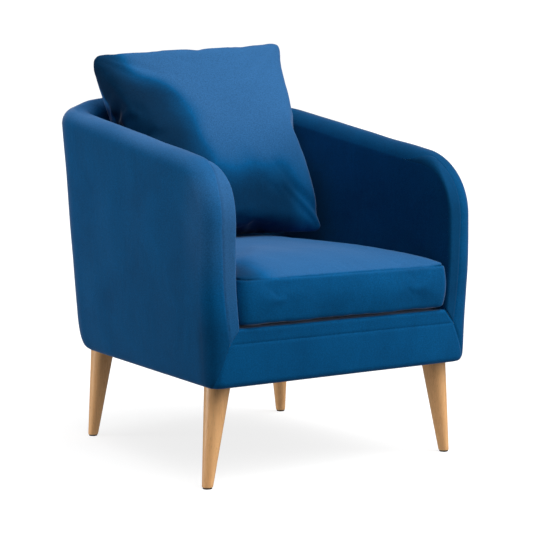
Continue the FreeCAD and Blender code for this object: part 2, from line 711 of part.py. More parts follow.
# ---------------------------------------------------------------- front rail upholstery
cover_y = "Sizes.FrontFace + Sizes.CoverThickness"
rail_padding = new_body("front_rail_padding")
profile = new_sketch(rail_padding, "YZ_Plane")
draw_polygon(profile, [
    (cover_y, "Sizes.RailBottom"),
    (front_rail_y, "Sizes.RailBottom"),
    (front_rail_y, "Sizes.RailTop + Sizes.ClipHeadroom"),
    ("Sizes.DeckFront", "Sizes.RailTop + Sizes.ClipHeadroom"),
    ("Sizes.DeckFront", "Sizes.BandTop - Sizes.CoverThickness"),
    (cover_y, "Sizes.BandTop - Sizes.CoverThickness")])
pad(rail_padding, profile, "2 * Sizes.RailPaddingHalf", both_ways=True)

border = new_body("front_border")
panel = new_sketch(border, "XZ_Plane", "-Sizes.FrontFace - Sizes.CoverThickness")
draw_polygon(panel, [
    ("-Sizes.RailPaddingHalf", "Sizes.BodyBottom"),
    ("Sizes.RailPaddingHalf", "Sizes.BodyBottom"),
    ("Sizes.RailPaddingHalf", "Sizes.BandBottom"),
    ("-Sizes.RailPaddingHalf", "Sizes.BandBottom")])
pad(border, panel, "Sizes.CoverThickness")

rail_band = new_body("facing_band_rail")
band_profile = new_sketch(rail_band, "YZ_Plane")
draw_polygon(band_profile, [
    ("Sizes.FrontFace", "Sizes.BandBottom"),
    (cover_y, "Sizes.BandBottom"),
    (cover_y, "Sizes.BandTop - Sizes.CoverThickness"),
    ("Sizes.DeckFront", "Sizes.BandTop - Sizes.CoverThickness"),
    ("Sizes.DeckFront", "Sizes.BandTop"),
    ("Sizes.FrontFace", "Sizes.BandTop")])
pad(rail_band, band_profile, "2 * Sizes.RailPaddingHalf", both_ways=True)

# The fabric in front of the arms' feet: between the border's ends and the outside covers.
foot_band = front_skin.common(block((-size("BandOuter"), size("BandOuter")), EVERY,
                                    (-FAR, DECK_LEVEL)))
foot_band = foot_band.cut(block((-size("RailPaddingHalf"), size("RailPaddingHalf")),
                                EVERY, EVERY))
shape_feature("front_corner_covers", foot_band)

# ---------------------------------------------------------------- padding and boards
top_and_front = outer_pad_wall.common(pad_envelope).cut(frame_envelope)
seat_side = inner_pad_wall.common(pad_envelope).common(above_deck)
arm_nose = inner_pad_wall.common(pad_envelope).cut(frame_envelope)
arm_nose = arm_nose.cut(above_deck).common(front_zone)
padding = top_and_front.fuse([seat_side, arm_nose])
for neighbour in (front_rail, rail_padding, dust_cover):
    padding = padding.cut(neighbour.Shape)
boards = board_wall.common(frame_envelope).cut(dust_cover.Shape)
for name, segment in SEGMENTS.items():
    label = "back_padding" if name == MIDDLE else "arm_padding_" + name
    shape_feature(label, padding.common(segment).removeSplitter())
    shape_feature("outside_board_" + name, boards.common(segment))

# ---------------------------------------------------------------- loose seat cushion


def cushion_slab(label, inset):
    """The seat cushion's form, or the same form set in all round."""
    less = f" - {inset}"
    more = f" + {inset}"
    names = ("(Sizes.CushionFrontHalf" + less + ")", "(Sizes.CushionRearHalf" + less + ")",
             "Sizes.CushionFront" + more, "Sizes.CushionBack" + less)
    return tub_slab(label, names, "Sizes.CushionBottom" + more,
                    "Sizes.CushionThickness - 2 * " + inset,
                    "Sizes.CushionCorner" + less, "Sizes.CushionFrontCorner" + less,
                    "Sizes.CushionEdge" + less)


cushion_form = cushion_slab("seat_cushion_form", "0 mm / 1 mm")
cushion_foam = cushion_slab("seat_cushion_foam", "Sizes.CushionWrap")
cushion_cover = doc.addObject("Part::Cut", "CushionCover")
cushion_cover.Label = "seat_cushion_cover"
cushion_cover.Base = cushion_form
cushion_cover.Tool = cushion_foam

zip_tape = new_body("seat_cushion_zip")
tape_outline = new_sketch(zip_tape, "XZ_Plane", "-Sizes.CushionBack - Sizes.ZipTapeThickness")
draw_polygon(tape_outline, rectangle(
    "-Sizes.CushionZipHalf", "Sizes.CushionZipHalf",
    "Sizes.ZipHeight - Sizes.ZipTapeWidth / 2", "Sizes.ZipHeight + Sizes.ZipTapeWidth / 2"))
pad(zip_tape, tape_outline, "Sizes.ZipTapeThickness")


def zip_slider(label):
    """A slider with its pull hanging down, at the left end of a zip along X."""
    body = new_body(label)
    outline = new_sketch(body, "XY_Plane")
    draw_polygon(outline, rectangle("-Sizes.SliderLength / 2", "Sizes.SliderLength / 2",
                                    "0", "Sizes.SliderThickness"))
    pad(body, outline, "Sizes.SliderWidth", both_ways=True)
    pull = new_sketch(body, "XZ_Plane", "-Sizes.SliderThickness")
    draw_polygon(pull, rectangle("-Sizes.SliderLength / 5", "Sizes.SliderLength / 5",
                                 "-Sizes.PullLength", "0"))
    pad(body, pull, "Sizes.SliderThickness / 3")
    return body


seat_slider = zip_slider("seat_cushion_zip_slider")
seat_slider.setExpression("Placement.Base.x",
                          "-Sizes.CushionZipHalf + Sizes.SliderLength")
seat_slider.setExpression("Placement.Base.y",
                          "Sizes.CushionBack + Sizes.ZipTapeThickness + Sizes.SliderGap")
seat_slider.setExpression("Placement.Base.z", "Sizes.ZipHeight")

# ---------------------------------------------------------------- loose back cushion


def pillow_form(label, inset):
    """A square cushion: widest at its seam, stepping in to a flat on each face."""
    body = new_body(label)
    half = f"(Sizes.PillowHalf - {inset})"
    depth = f"(Sizes.PillowDepth - {inset})"
    sections = [
        ("-" + depth, "Sizes.PillowFace"),
        ("-Sizes.PillowShoulderDepth", "Sizes.PillowShoulder"),
        ("0", "1"),
        ("Sizes.PillowShoulderDepth", "Sizes.PillowShoulder"),
        (depth, "Sizes.PillowFace"),
    ]
    sketches = []
    for offset, share in sections:
        sketch = new_sketch(body, "XZ_Plane", offset)
        reach = f"{half} * {share}"
        draw_polygon(sketch, rectangle("-" + reach, reach, "-" + reach, reach))
        sketches.append(sketch)
    loft(body, sketches)
    return body


def lean(feature, x="0", y="0", z="0"):
    """Leans a piece of the back cushion, given its offset in the cushion's own frame."""
    feature.setExpression("Placement.Rotation.Axis.x", "1")
    feature.setExpression("Placement.Rotation.Axis.y", "0")
    feature.setExpression("Placement.Rotation.Axis.z", "0")
    feature.setExpression("Placement.Rotation.Angle", "-Sizes.PillowLean")
    turn = "Sizes.PillowLean * 1 deg"
    feature.setExpression("Placement.Base.x", f"Sizes.PillowX + {x}")
    feature.setExpression("Placement.Base.y",
                          f"Sizes.PillowY + ({y}) * cos({turn}) + ({z}) * sin({turn})")
    feature.setExpression("Placement.Base.z",
                          f"Sizes.PillowZ - ({y}) * sin({turn}) + ({z}) * cos({turn})")


pillow_outer = pillow_form("back_pillow_form", "0 mm / 1 mm")
pillow_fill = pillow_form("back_pillow_fill", "Sizes.PillowCover")
pillow_cover = doc.addObject("Part::Cut", "PillowCover")
pillow_cover.Label = "back_pillow_cover"
pillow_cover.Base = pillow_outer
pillow_cover.Tool = pillow_fill
for feature in (pillow_outer, pillow_fill):
    lean(feature)

pillow_zip = new_body("back_pillow_zip")
tape_outline = new_sketch(pillow_zip, "XZ_Plane", "-Sizes.PillowDepth - Sizes.ZipTapeThickness")
draw_polygon(tape_outline, rectangle(
    "-Sizes.PillowZipHalf", "Sizes.PillowZipHalf",
    "-Sizes.PillowZipDrop - Sizes.ZipTapeWidth / 2",
    "-Sizes.PillowZipDrop + Sizes.ZipTapeWidth / 2"))
pad(pillow_zip, tape_outline, "Sizes.ZipTapeThickness")
lean(pillow_zip)
pillow_slider = zip_slider("back_pillow_zip_slider")
lean(pillow_slider, "(Sizes.SliderLength - Sizes.PillowZipHalf)",
     "Sizes.PillowDepth + Sizes.ZipTapeThickness + Sizes.SliderGap", "-Sizes.PillowZipDrop")

doc.recompute()

# ---------------------------------------------------------------- checks and files
HELPERS = ("seat_cushion_form", "back_pillow_form")
for item in doc.Objects:
    if "Invalid" in item.State or "Error" in item.State:
        raise ValueError(item.Label + " failed: " + str(item.State))

pieces = [item for item in doc.Objects
          if item.TypeId in ("PartDesign::Body", "Part::Feature", "Part::Cut")
          and item.Label not in HELPERS and item.Label == item.Label.lower()]
os.makedirs("parts", exist_ok=True)
for piece in pieces:
    if piece.Shape.isNull() or not piece.Shape.isValid() or piece.Shape.Volume <= 0:
        raise ValueError(piece.Label + " has no valid solid")
    piece.Shape.exportStep("parts/" + piece.Label + ".step")
    volume = piece.Shape.Volume / 1000
    print(f"{piece.Label:26s} {len(piece.Shape.Solids)} solid(s) {volume:10.1f} cm3")
print(len(pieces), "nodes")
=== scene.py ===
import math

import bpy
import numpy as np
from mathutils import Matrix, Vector


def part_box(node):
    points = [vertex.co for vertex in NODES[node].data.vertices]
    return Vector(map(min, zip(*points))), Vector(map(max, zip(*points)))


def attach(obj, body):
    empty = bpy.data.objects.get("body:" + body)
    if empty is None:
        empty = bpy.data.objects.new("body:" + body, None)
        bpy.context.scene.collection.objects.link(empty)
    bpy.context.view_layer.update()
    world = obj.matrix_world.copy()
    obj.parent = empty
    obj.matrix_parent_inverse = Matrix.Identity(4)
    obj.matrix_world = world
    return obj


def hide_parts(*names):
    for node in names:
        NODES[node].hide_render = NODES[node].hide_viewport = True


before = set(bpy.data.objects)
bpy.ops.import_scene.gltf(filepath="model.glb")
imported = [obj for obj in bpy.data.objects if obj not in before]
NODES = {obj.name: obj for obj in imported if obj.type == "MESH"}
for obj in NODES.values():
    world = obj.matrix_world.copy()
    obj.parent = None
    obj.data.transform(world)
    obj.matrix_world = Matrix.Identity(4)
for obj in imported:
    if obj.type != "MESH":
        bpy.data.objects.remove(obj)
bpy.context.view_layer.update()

bl_info = {
    "name": "Velvet tub armchair",
    "version": (1, 0, 0),
    "blender": (4, 5, 0),
    "location": "View3D > Sidebar > Armchair",
    "description": "Covers, cushions, legs and finishes of a velvet tub armchair",
    "category": "Object",
}

MM = 0.001

# Places that the frame gives, in metres.
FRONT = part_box("facing_band_left")[0].y
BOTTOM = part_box("outside_cover_left")[0].z
RAIL_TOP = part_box("facing_band_rail")[1].z
BAND_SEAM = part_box("facing_band_rail")[0].z
DECK_PAD_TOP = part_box("deck_pad")[1].z
BACK_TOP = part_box("outside_cover_back")[1].z
PILLOW_LOW, PILLOW_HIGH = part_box("back_pillow_cover")
CUSHION_LOW, CUSHION_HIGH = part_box("seat_cushion_cover")

# ------------------------------------------------------------------ numbers and curves


def smooth_curve(at, places, numbers):
    """A curve through a few points: cubic pieces whose slope at each point is the mean of
    the slopes on its two sides, so it bends softly and never kinks."""
    places = np.asarray(places, float)
    numbers = np.asarray(numbers, float)
    slopes = np.diff(numbers) / np.diff(places)
    tangents = np.concatenate([[slopes[0]], (slopes[:-1] + slopes[1:]) / 2, [slopes[-1]]])
    at = np.clip(at, places[0], places[-1])
    index = np.clip(np.searchsorted(places, at, side="right") - 1, 0, len(places) - 2)
    gap = places[index + 1] - places[index]
    part = (at - places[index]) / gap
    rest = 1 - part
    return (numbers[index] * (1 + 2 * part) * rest ** 2
            + numbers[index + 1] * part ** 2 * (3 - 2 * part)
            + gap * part * rest * (tangents[index] * rest - tangents[index + 1] * part))


def ease(number, low, high):
    """0 below low, 1 above high, and a smooth S in between."""
    share = np.clip((number - low) / (high - low), 0.0, 1.0)
    return share * share * (3 - 2 * share)


def unevenness(points, wavelength, seed, waves=14):
    """Soft unevenness between about -1 and 1: the sum of sine waves that run in random
    directions, with wavelengths about the given one."""
    dice = np.random.default_rng(seed)
    total = np.zeros(len(points))
    for _ in range(waves):
        direction = dice.normal(size=3)
        direction /= np.linalg.norm(direction)
        pace = 2 * math.pi / (wavelength * dice.uniform(0.7, 1.6))
        total += np.sin(points @ direction * pace + dice.uniform(0, 2 * math.pi))
    return total / math.sqrt(waves * 2)


# ------------------------------------------------------------------ meshes


def new_piece(name, points, faces, smooth=True, merge=None):
    """A mesh object at the origin, from an array of points and a list of faces."""
    mesh = bpy.data.meshes.new(name)
    mesh.from_pydata(np.asarray(points, float).reshape(-1, 3).tolist(), [],
                     [list(face) for face in faces])
    mesh.validate()
    piece = bpy.data.objects.new(name, mesh)
    bpy.context.scene.collection.objects.link(piece)
    if merge:
        merge_points(piece, merge)
    mesh.polygons.foreach_set("use_smooth", [smooth] * len(mesh.polygons))
    mesh.update()
    return piece


def merge_points(piece, distance):
    """Joins points that lie closer than distance."""
    import bmesh
    work = bmesh.new()
    work.from_mesh(piece.data)
    bmesh.ops.remove_doubles(work, verts=work.verts, dist=distance)
    bmesh.ops.dissolve_degenerate(work, edges=work.edges, dist=distance / 2)
    work.to_mesh(piece.data)
    work.free()


def grid_faces(rows, columns, start=0, flip=False, ring=False):
    """Faces of a grid whose points lie row after row. A ring closes each row on itself."""
    down = np.arange(rows - 1)[:, None]
    across = np.arange(columns if ring else columns - 1)[None, :]
    following = (across + 1) % columns
    first = start + down * columns + across
    second = start + down * columns + following
    third = start + (down + 1) * columns + following
    fourth = start + (down + 1) * columns + across
    order = (first, fourth, third, second) if flip else (first, second, third, fourth)
    return np.stack([part.ravel() for part in order], axis=1).tolist()


class Sheets:
    """Collects several grids into one mesh."""

    def __init__(self):
        self.points = []
        self.faces = []
        self.count = 0

    def add(self, grid, flip=False):
        rows, columns, _ = grid.shape
        self.faces += grid_faces(rows, columns, self.count, flip)
        self.points.append(grid.reshape(-1, 3))
        self.count += rows * columns

    def mirrored(self):
        """Adds the same sheets again on the other side of the middle."""
        points = np.concatenate(self.points)
        other = points * np.array([-1.0, 1.0, 1.0])
        self.faces += [[self.count + index for index in face[::-1]] for face in self.faces]
        self.points.append(other)
        self.count *= 2

    def piece(self, name, merge=0.0002):
        return new_piece(name, np.concatenate(self.points), self.faces, merge=merge)


def subdivide(piece, levels=1):
    """One live subdivision, the same in the view and in the render."""
    modifier = piece.modifiers.new("Subdivision", "SUBSURF")
    modifier.levels = levels
    modifier.render_levels = levels
    return modifier


def apply_modifiers(piece):
    """Makes the piece's modifiers part of its mesh."""
    view = bpy.context.evaluated_depsgraph_get()
    mesh = bpy.data.meshes.new_from_object(piece.evaluated_get(view))
    piece.modifiers.clear()
    piece.data = mesh
    mesh.polygons.foreach_set("use_smooth", [True] * len(mesh.polygons))


def points_of(piece):
    points = np.empty(len(piece.data.vertices) * 3)
    piece.data.vertices.foreach_get("co", points)
    return points.reshape(-1, 3)


def normals_of(piece):
    normals = np.empty(len(piece.data.vertices) * 3)
    piece.data.vertices.foreach_get("normal", normals)
    return normals.reshape(-1, 3)


def move_points(piece, points):
    piece.data.vertices.foreach_set("co", np.asarray(points, float).ravel())
    piece.data.update()


# ------------------------------------------------------------------ properties


def length(name, description, default, low=0.0, high=2.0):
    return bpy.props.FloatProperty(name=name, description=description, default=default,
                                   min=low, max=high, unit="LENGTH")


def colour(name, description, code):
    return bpy.props.FloatVectorProperty(name=name, description=description, subtype="COLOR",
                                         size=4, min=0.0, max=1.0, default=linear(code))


def linear(code):
    """An sRGB hex value as linear red, green, blue and full alpha."""
    parts = [int(code[index:index + 2], 16) / 255 for index in (1, 3, 5)]
    curve = [part / 12.92 if part <= 0.04045 else ((part + 0.055) / 1.055) ** 2.4
             for part in parts]
    return (*curve, 1.0)


class ArmchairSizes(bpy.types.PropertyGroup):
    """Sizes of the soft parts, around the frame."""
    wall: length("Wall thickness", "Arm and back, outer cover to inner cover", 0.070)
    roll_depth: length("Roll depth", "How far down the rolled edge of the wall reaches", 0.048)
    front_roll: length("Front roll", "Radius of the outer edge of the arm fronts", 0.034)
    top_roll: length("Top roll", "Radius of the rolled top edge", 0.032)
    inner_roll: length("Inner roll", "Radius of the inner edge of the arm fronts", 0.006)
    bottom_roll: length("Bottom roll", "Radius of the lower edge of the body", 0.013)
    seam_depth: length("Seam depth", "How deep the covers dip at a seam", 0.0016)
    seam_width: length("Seam width", "How wide the dip at a seam is", 0.0026)
    crown: length("Cushion crown", "Rise of the seat cushion above its top seam", 0.044)
    pillow_side: length("Pillow side", "Side of the scatter cushion before it is filled", 0.50)
    pillow_pressure: bpy.props.FloatProperty(
        name="Pillow filling", description="Pressure that fills the scatter cushion",
        default=3.0, min=0.0, max=50.0)


class ArmchairColours(bpy.types.PropertyGroup):
    """Colours of the finishes."""
    velvet: colour("Velvet", "Pile seen from the side", "#035488")
    velvet_shade: colour("Velvet shade", "Pile brushed away from the eye", "#024A7A")
    # Painted highlight: the colour that lit tops and edges are painted towards.
    velvet_tips: colour("Velvet tips", "Pile stroked away, which shows its paler tips", "#2F6192")
    velvet_bloom: colour("Velvet bloom", "Light caught by the tips of the pile", "#DCE6FF")
    leg_light: colour("Leg wood", "Early wood between the grain lines", "#FBC286")
    leg_dark: colour("Leg grain", "Late wood in the grain lines", "#E09E5F")


def sizes():
    return bpy.context.scene.armchair_sizes


def colours():
    return bpy.context.scene.armchair_colours


# ------------------------------------------------------------------ the tub's wall
# Heights (m) and the outline's sizes there: half width at the arm fronts, half width where
# the rear corner starts, and the back of the outline.
OUTLINE_HEIGHTS = (0.203, 0.227, 0.262, 0.300, 0.360, 0.400, 0.455, 0.520, 0.600, 0.700, 0.800)
FRONT_HALF = (0.3205, 0.3240, 0.3255, 0.3270, 0.3315, 0.3345, 0.3355, 0.3345, 0.3315, 0.3290,
              0.3280)
REAR_HALF = (0.290, 0.2975, 0.3025, 0.305, 0.308, 0.310, 0.313, 0.316, 0.321, 0.328, 0.332)
BACK_REACH = (0.323, 0.3310, 0.3360, 0.338, 0.341, 0.343, 0.346, 0.349, 0.352, 0.355, 0.356)
CORNER_RADIUS = 0.110
BOW_RADIUS = 2.0
SIDE_RUN = 0.591        # along the wall, from the arm front to the start of the rear corner
CORNER_RUN = 0.157      # round the rear corner
BACK_RUN = 0.205        # from the corner to the middle of the back
CORNER_END = SIDE_RUN + CORNER_RUN
MIDDLE = CORNER_END + BACK_RUN

NOSE_RADIUS = 0.138     # curl of the arm's front edge, seen from the side
NOSE_HEIGHT = 0.5171    # where that curl starts
ARM_SLOPE = 0.167       # rise of the arm's top per metre of length
NOSE_TURN = math.pi / 2 - math.atan(ARM_SLOPE)


def tub_point(along, height, depth):
    """A point of the wall on the +X side. along is the distance along the wall from the arm
    front, and depth the distance in from the outer face. Seen from above the outer face is
    a straight side, an arc round the corner and a wide arc across the back. Their sizes
    change with height. At the arm front the depth runs level with the front rail."""
    along, height, depth = np.broadcast_arrays(along, height, depth)
    front_half = smooth_curve(height, OUTLINE_HEIGHTS, FRONT_HALF)
    rear_half = smooth_curve(height, OUTLINE_HEIGHTS, REAR_HALF)
    back = smooth_curve(height, OUTLINE_HEIGHTS, BACK_REACH)
    taper = np.arctan((front_half - rear_half) / SIDE_RUN)
    corner_x = rear_half - CORNER_RADIUS * np.cos(taper)
    join = np.arccos(corner_x / (BOW_RADIUS - CORNER_RADIUS))
    corner_y = back - BOW_RADIUS + (BOW_RADIUS - CORNER_RADIUS) * np.sin(join)
    side_end = corner_y + CORNER_RADIUS * np.sin(taper)

    share = along / SIDE_RUN
    side = (front_half + (rear_half - front_half) * share, FRONT + (side_end - FRONT) * share,
            taper * ease(along, 0.0, 0.20))
    turn = taper + (join - taper) * (along - SIDE_RUN) / CORNER_RUN
    corner = (corner_x + CORNER_RADIUS * np.cos(turn), corner_y + CORNER_RADIUS * np.sin(turn),
              turn)
    sweep = join + (math.pi / 2 - join) * (along - CORNER_END) / BACK_RUN
    bow = (BOW_RADIUS * np.cos(sweep), back - BOW_RADIUS + BOW_RADIUS * np.sin(sweep), sweep)
    where = [along <= SIDE_RUN, along <= CORNER_END]
    x, y, facing = (np.select(where, (one, two), three)
                    for one, two, three in zip(side, corner, bow))
    return np.stack([x - depth * np.cos(facing), y - depth * np.sin(facing), height], axis=-1)


def top_height(along):
    """Height of the wall's top edge behind the nose: a straight slope, then a soft rise to
    the middle of the back."""
    nose_end = NOSE_RADIUS * (1 - math.cos(NOSE_TURN))
    nose_top = NOSE_HEIGHT + NOSE_RADIUS * math.sin(NOSE_TURN)
    return smooth_curve(
        along,
        (nose_end, SIDE_RUN - 0.15, SIDE_RUN, SIDE_RUN + 0.11, CORNER_END, MIDDLE, MIDDLE + 0.2),
        (nose_top, nose_top + (SIDE_RUN - 0.15 - nose_end) * ARM_SLOPE, 0.7335, 0.7480, 0.7590,
         BACK_TOP, 0.759))


class Rim:
    """The wall's front and top edge, seen along the unrolled wall: up the arm front, round
    the nose, and along the top to the middle of the back. inward is the way into the wall."""

    def __init__(self, low, front_steps, nose_steps, top_steps):
        # Rows lie closer together near the lower edge, which is rounded.
        front_height = low + (NOSE_HEIGHT - low) * np.linspace(0, 1, front_steps + 1) ** 1.5
        turn = np.linspace(0, NOSE_TURN, nose_steps + 1)[1:]
        nose_end = NOSE_RADIUS * (1 - math.cos(NOSE_TURN))
        top_along = nose_end + (MIDDLE - nose_end) * np.linspace(0, 1, top_steps + 1)[1:]
        step = 0.001
        slope = (top_height(top_along + step) - top_height(top_along - step)) / (2 * step)
        slope[-1] = 0.0
        self.corner = front_steps
        self.along = np.concatenate([
            np.zeros(front_steps + 1), NOSE_RADIUS * (1 - np.cos(turn)), top_along])
        self.height = np.concatenate([
            front_height, NOSE_HEIGHT + NOSE_RADIUS * np.sin(turn), top_height(top_along)])
        length_of = np.sqrt(1 + slope ** 2)
        self.in_along = np.concatenate([
            np.ones(front_steps + 1), np.cos(turn), slope / length_of])
        self.in_height = np.concatenate([
            np.zeros(front_steps + 1), -np.sin(turn), -1 / length_of])
        # How far a place is from being arm front (1) to being top edge (0).
        self.frontness = np.concatenate([
            np.ones(front_steps + 1), 1 - ease(turn, 0.35 * NOSE_TURN, NOSE_TURN),
            np.zeros(top_steps)])

    def inset(self, drop):
        """Places (along, height) at a distance in from the rim."""
        return self.along + self.in_along * drop, self.height + self.in_height * drop


def section_sizes(frontness):
    """Width and depth of the outer and the inner rounding of the wall's edge."""
    s = sizes()
    blend = lambda front, top: top + (front - top) * frontness
    return (blend(s.front_roll, s.top_roll), blend(s.front_roll * 0.88, s.top_roll * 1.06),
            blend(s.inner_roll, s.top_roll), blend(s.inner_roll, s.top_roll * 1.0))


def section(across, frontness):
    """The wall's edge cut across. across runs 0 to 5: up the outer face, round the outer
    edge, over the flat, round the inner edge, down the inner face. Gives the depth from
    the outer face, the drop from the rim, and the outward direction in those two."""
    s = sizes()
    outer_width, outer_drop, inner_width, inner_drop = section_sizes(frontness)
    zero = np.zeros(np.broadcast(across, frontness).shape)
    part = [np.clip(across - step, 0, 1) for step in range(5)]
    quarter = math.pi / 2
    outer_turn, inner_turn = part[1] * quarter, part[3] * quarter
    flat = s.wall - inner_width - outer_width
    depths = (zero, outer_width * (1 - np.cos(outer_turn)), outer_width + flat * part[2],
              s.wall - inner_width + inner_width * np.sin(inner_turn), zero + s.wall)
    drops = (s.roll_depth + (outer_drop - s.roll_depth) * part[0],
             outer_drop * (1 - np.sin(outer_turn)), zero,
             inner_drop * (1 - np.cos(inner_turn)),
             inner_drop + (s.roll_depth - inner_drop) * part[4])
    out_depths = (zero - 1, -np.cos(outer_turn), zero, np.sin(inner_turn), zero + 1)
    out_drops = (zero, -np.sin(outer_turn), zero - 1, -np.cos(inner_turn), zero)
    where = [across <= step for step in (1, 2, 3, 4)]
    return [np.select(where, group[:4], group[4])
            for group in (depths, drops, out_depths, out_drops)]


def across_at_depth(depth, frontness):
    """Where the section has a given depth from the outer face, as its across number."""
    s = sizes()
    outer_width, _, inner_width, _ = section_sizes(frontness)
    on_roll = 1 + np.arccos(np.clip(1 - depth / outer_width, -1, 1)) / (math.pi / 2)
    flat = s.wall - inner_width - outer_width
    on_flat = 2 + (depth - outer_width) / flat
    reach = np.clip((depth - s.wall + inner_width) / inner_width, 0, 1)
    on_inner = 3 + np.arcsin(reach) / (math.pi / 2)
    return np.select([depth <= outer_width, depth <= outer_width + flat],
                     [on_roll, on_flat], on_inner)


def tuck(height):
    """How far the surface turns in at the body's rounded lower edge."""
    radius = sizes().bottom_roll
    gap = np.clip((BOTTOM + radius - height) / radius, 0, 1)
    return radius * (1 - np.sqrt(1 - gap ** 2))


def groove(distance):
    """Depth of the dip at a distance from a seam."""
    s = sizes()
    return s.seam_depth * np.exp(-(distance / s.seam_width) ** 2)


def band_seam_x(height):
    """Half distance between the outer seams of the two arm bands, and below the rail's
    band between the seams that run down to the body's lower corners."""
    corner_half = smooth_curve(BOTTOM, OUTLINE_HEIGHTS, FRONT_HALF) - 0.004
    above = smooth_curve(height, (BAND_SEAM, 0.317, 0.365, 0.404, 0.448, 0.500, 0.520),
                         (0.280, 0.2845, 0.2905, 0.2940, 0.2955, 0.2975, 0.298))
    below = corner_half + (0.280 - corner_half) * (height - BOTTOM) / (BAND_SEAM - BOTTOM)
    return np.where(height >= BAND_SEAM, above, below)


INNER_SEAM = 3.9        # across number of the seam along the inner edge of the wall
BAND_TIP = 0.150        # distance along the wall where the band runs out to a point


def seam_across(along, height, frontness):
    """Across number of the seam between outside cover and band. It follows the arm front,
    then crosses the top of the nose and runs out into the inner edge."""
    half = smooth_curve(height, OUTLINE_HEIGHTS, FRONT_HALF)
    depth = np.where(along > 0, 0.0375, half - band_seam_x(height))
    front = across_at_depth(depth, frontness)
    return front + (INNER_SEAM - front) * ease(along, 0.008, BAND_TIP)


def seam_strength(along):
    """1 where the band's seam is sharp and 0 where it has faded out on top of the arm."""
    return 1 - ease(along, 0.045, 0.120)


def skin_waves(points):
    """Slight unevenness of foam under fabric, in metres, the same on both sides."""
    flat = points.reshape(-1, 3) * np.array([1.0, 1.0, 1.0])
    flat[:, 0] = np.abs(flat[:, 0])
    return (unevenness(flat, 0.16, seed=3) * 0.0007).reshape(points.shape[:-1])


def edge_surface(rim, across, raised, height=None):
    """The edge of the wall at across numbers, one row for each place of the rim, moved out
    by raised. height may replace the rim's heights, with one for each point."""
    rim_along = rim.along[:, None]
    rim_height = rim.height[:, None] if height is None else height
    depth, drop, out_depth, out_drop = section(across, rim.frontness[:, None] + 0 * across)
    along = rim_along + rim.in_along[:, None] * drop
    level = rim_height + rim.in_height[:, None] * drop
    raised = raised - tuck(level) + skin_waves(tub_point(along, level, depth))
    depth = depth + out_depth * raised
    drop = drop + out_drop * raised
    along = rim_along + rim.in_along[:, None] * drop
    level = rim_height + rim.in_height[:, None] * drop
    return tub_point(along, level, depth)


def wall_panel(rim, low, outer, sunk=0.0):
    """The flat of the wall below the rim: upright columns from low up to the rim's inset.
    The first column lies along the arm front, so its heights are the rim's own. The whole
    panel lies sunk below the cover's face."""
    depth = 0.0 if outer else sizes().wall
    outward = -1 if outer else 1
    along, height = rim.inset(sizes().roll_depth)
    corner = rim.corner
    share = ((height[:corner + 1] - height[0]) / (height[corner] - height[0]))[:, None]
    columns = along[None, corner:] + 0 * share
    level = low + (height[None, corner:] - low) * share
    raised = skin_waves(tub_point(columns, level, depth)) - sunk
    raised = raised - (tuck(level) if outer else 0)
    return tub_point(columns, level, depth + outward * raised)


def underside(points, inward):
    """A strip from a row of points of the lower edge, turned in under the body."""
    middle = np.array([0.0, 0.0, 0.0])
    away = points - middle
    away[:, 2] = 0
    away /= np.linalg.norm(away, axis=1)[:, None]
    inner = points - away * inward
    inner[:, 2] = BOTTOM + 0.001
    return np.stack([points, inner])


# ------------------------------------------------------------------ materials


def add_node(tree, kind, inputs=None, **settings):
    """Adds a node, sets it up and links it. An input is a number, a colour or a socket."""
    node = tree.nodes.new(kind)
    for name, setting in settings.items():
        setattr(node, name, setting)
    for name, value in (inputs or {}).items():
        if isinstance(value, bpy.types.NodeSocket):
            tree.links.new(value, node.inputs[name])
        else:
            node.inputs[name].default_value = value
    return node


def new_material(name):
    """A material with a shader and nothing else. Gives the material, its tree, its shader."""
    material = bpy.data.materials.new(name)
    material.use_nodes = True
    tree = material.node_tree
    tree.nodes.clear()
    shader = add_node(tree, "ShaderNodeBsdfPrincipled")
    add_node(tree, "ShaderNodeOutputMaterial", {"Surface": shader.outputs[0]})
    return material, tree, shader


# Name of the per-point attribute that holds painted shade and painted highlight for the velvet.
PAINTED_LIGHT_ATTRIBUTE = "pile_lay"


def paint_light_and_shade(piece, amounts):
    """Stores painted light and shade at each point: 1 is painted shade that darkens the pile, and -1 is
    a painted highlight in the paler tips colour."""
    layer = piece.data.attributes.new(PAINTED_LIGHT_ATTRIBUTE, "FLOAT", "POINT")
    layer.data.foreach_set("value", np.asarray(amounts, np.float32))


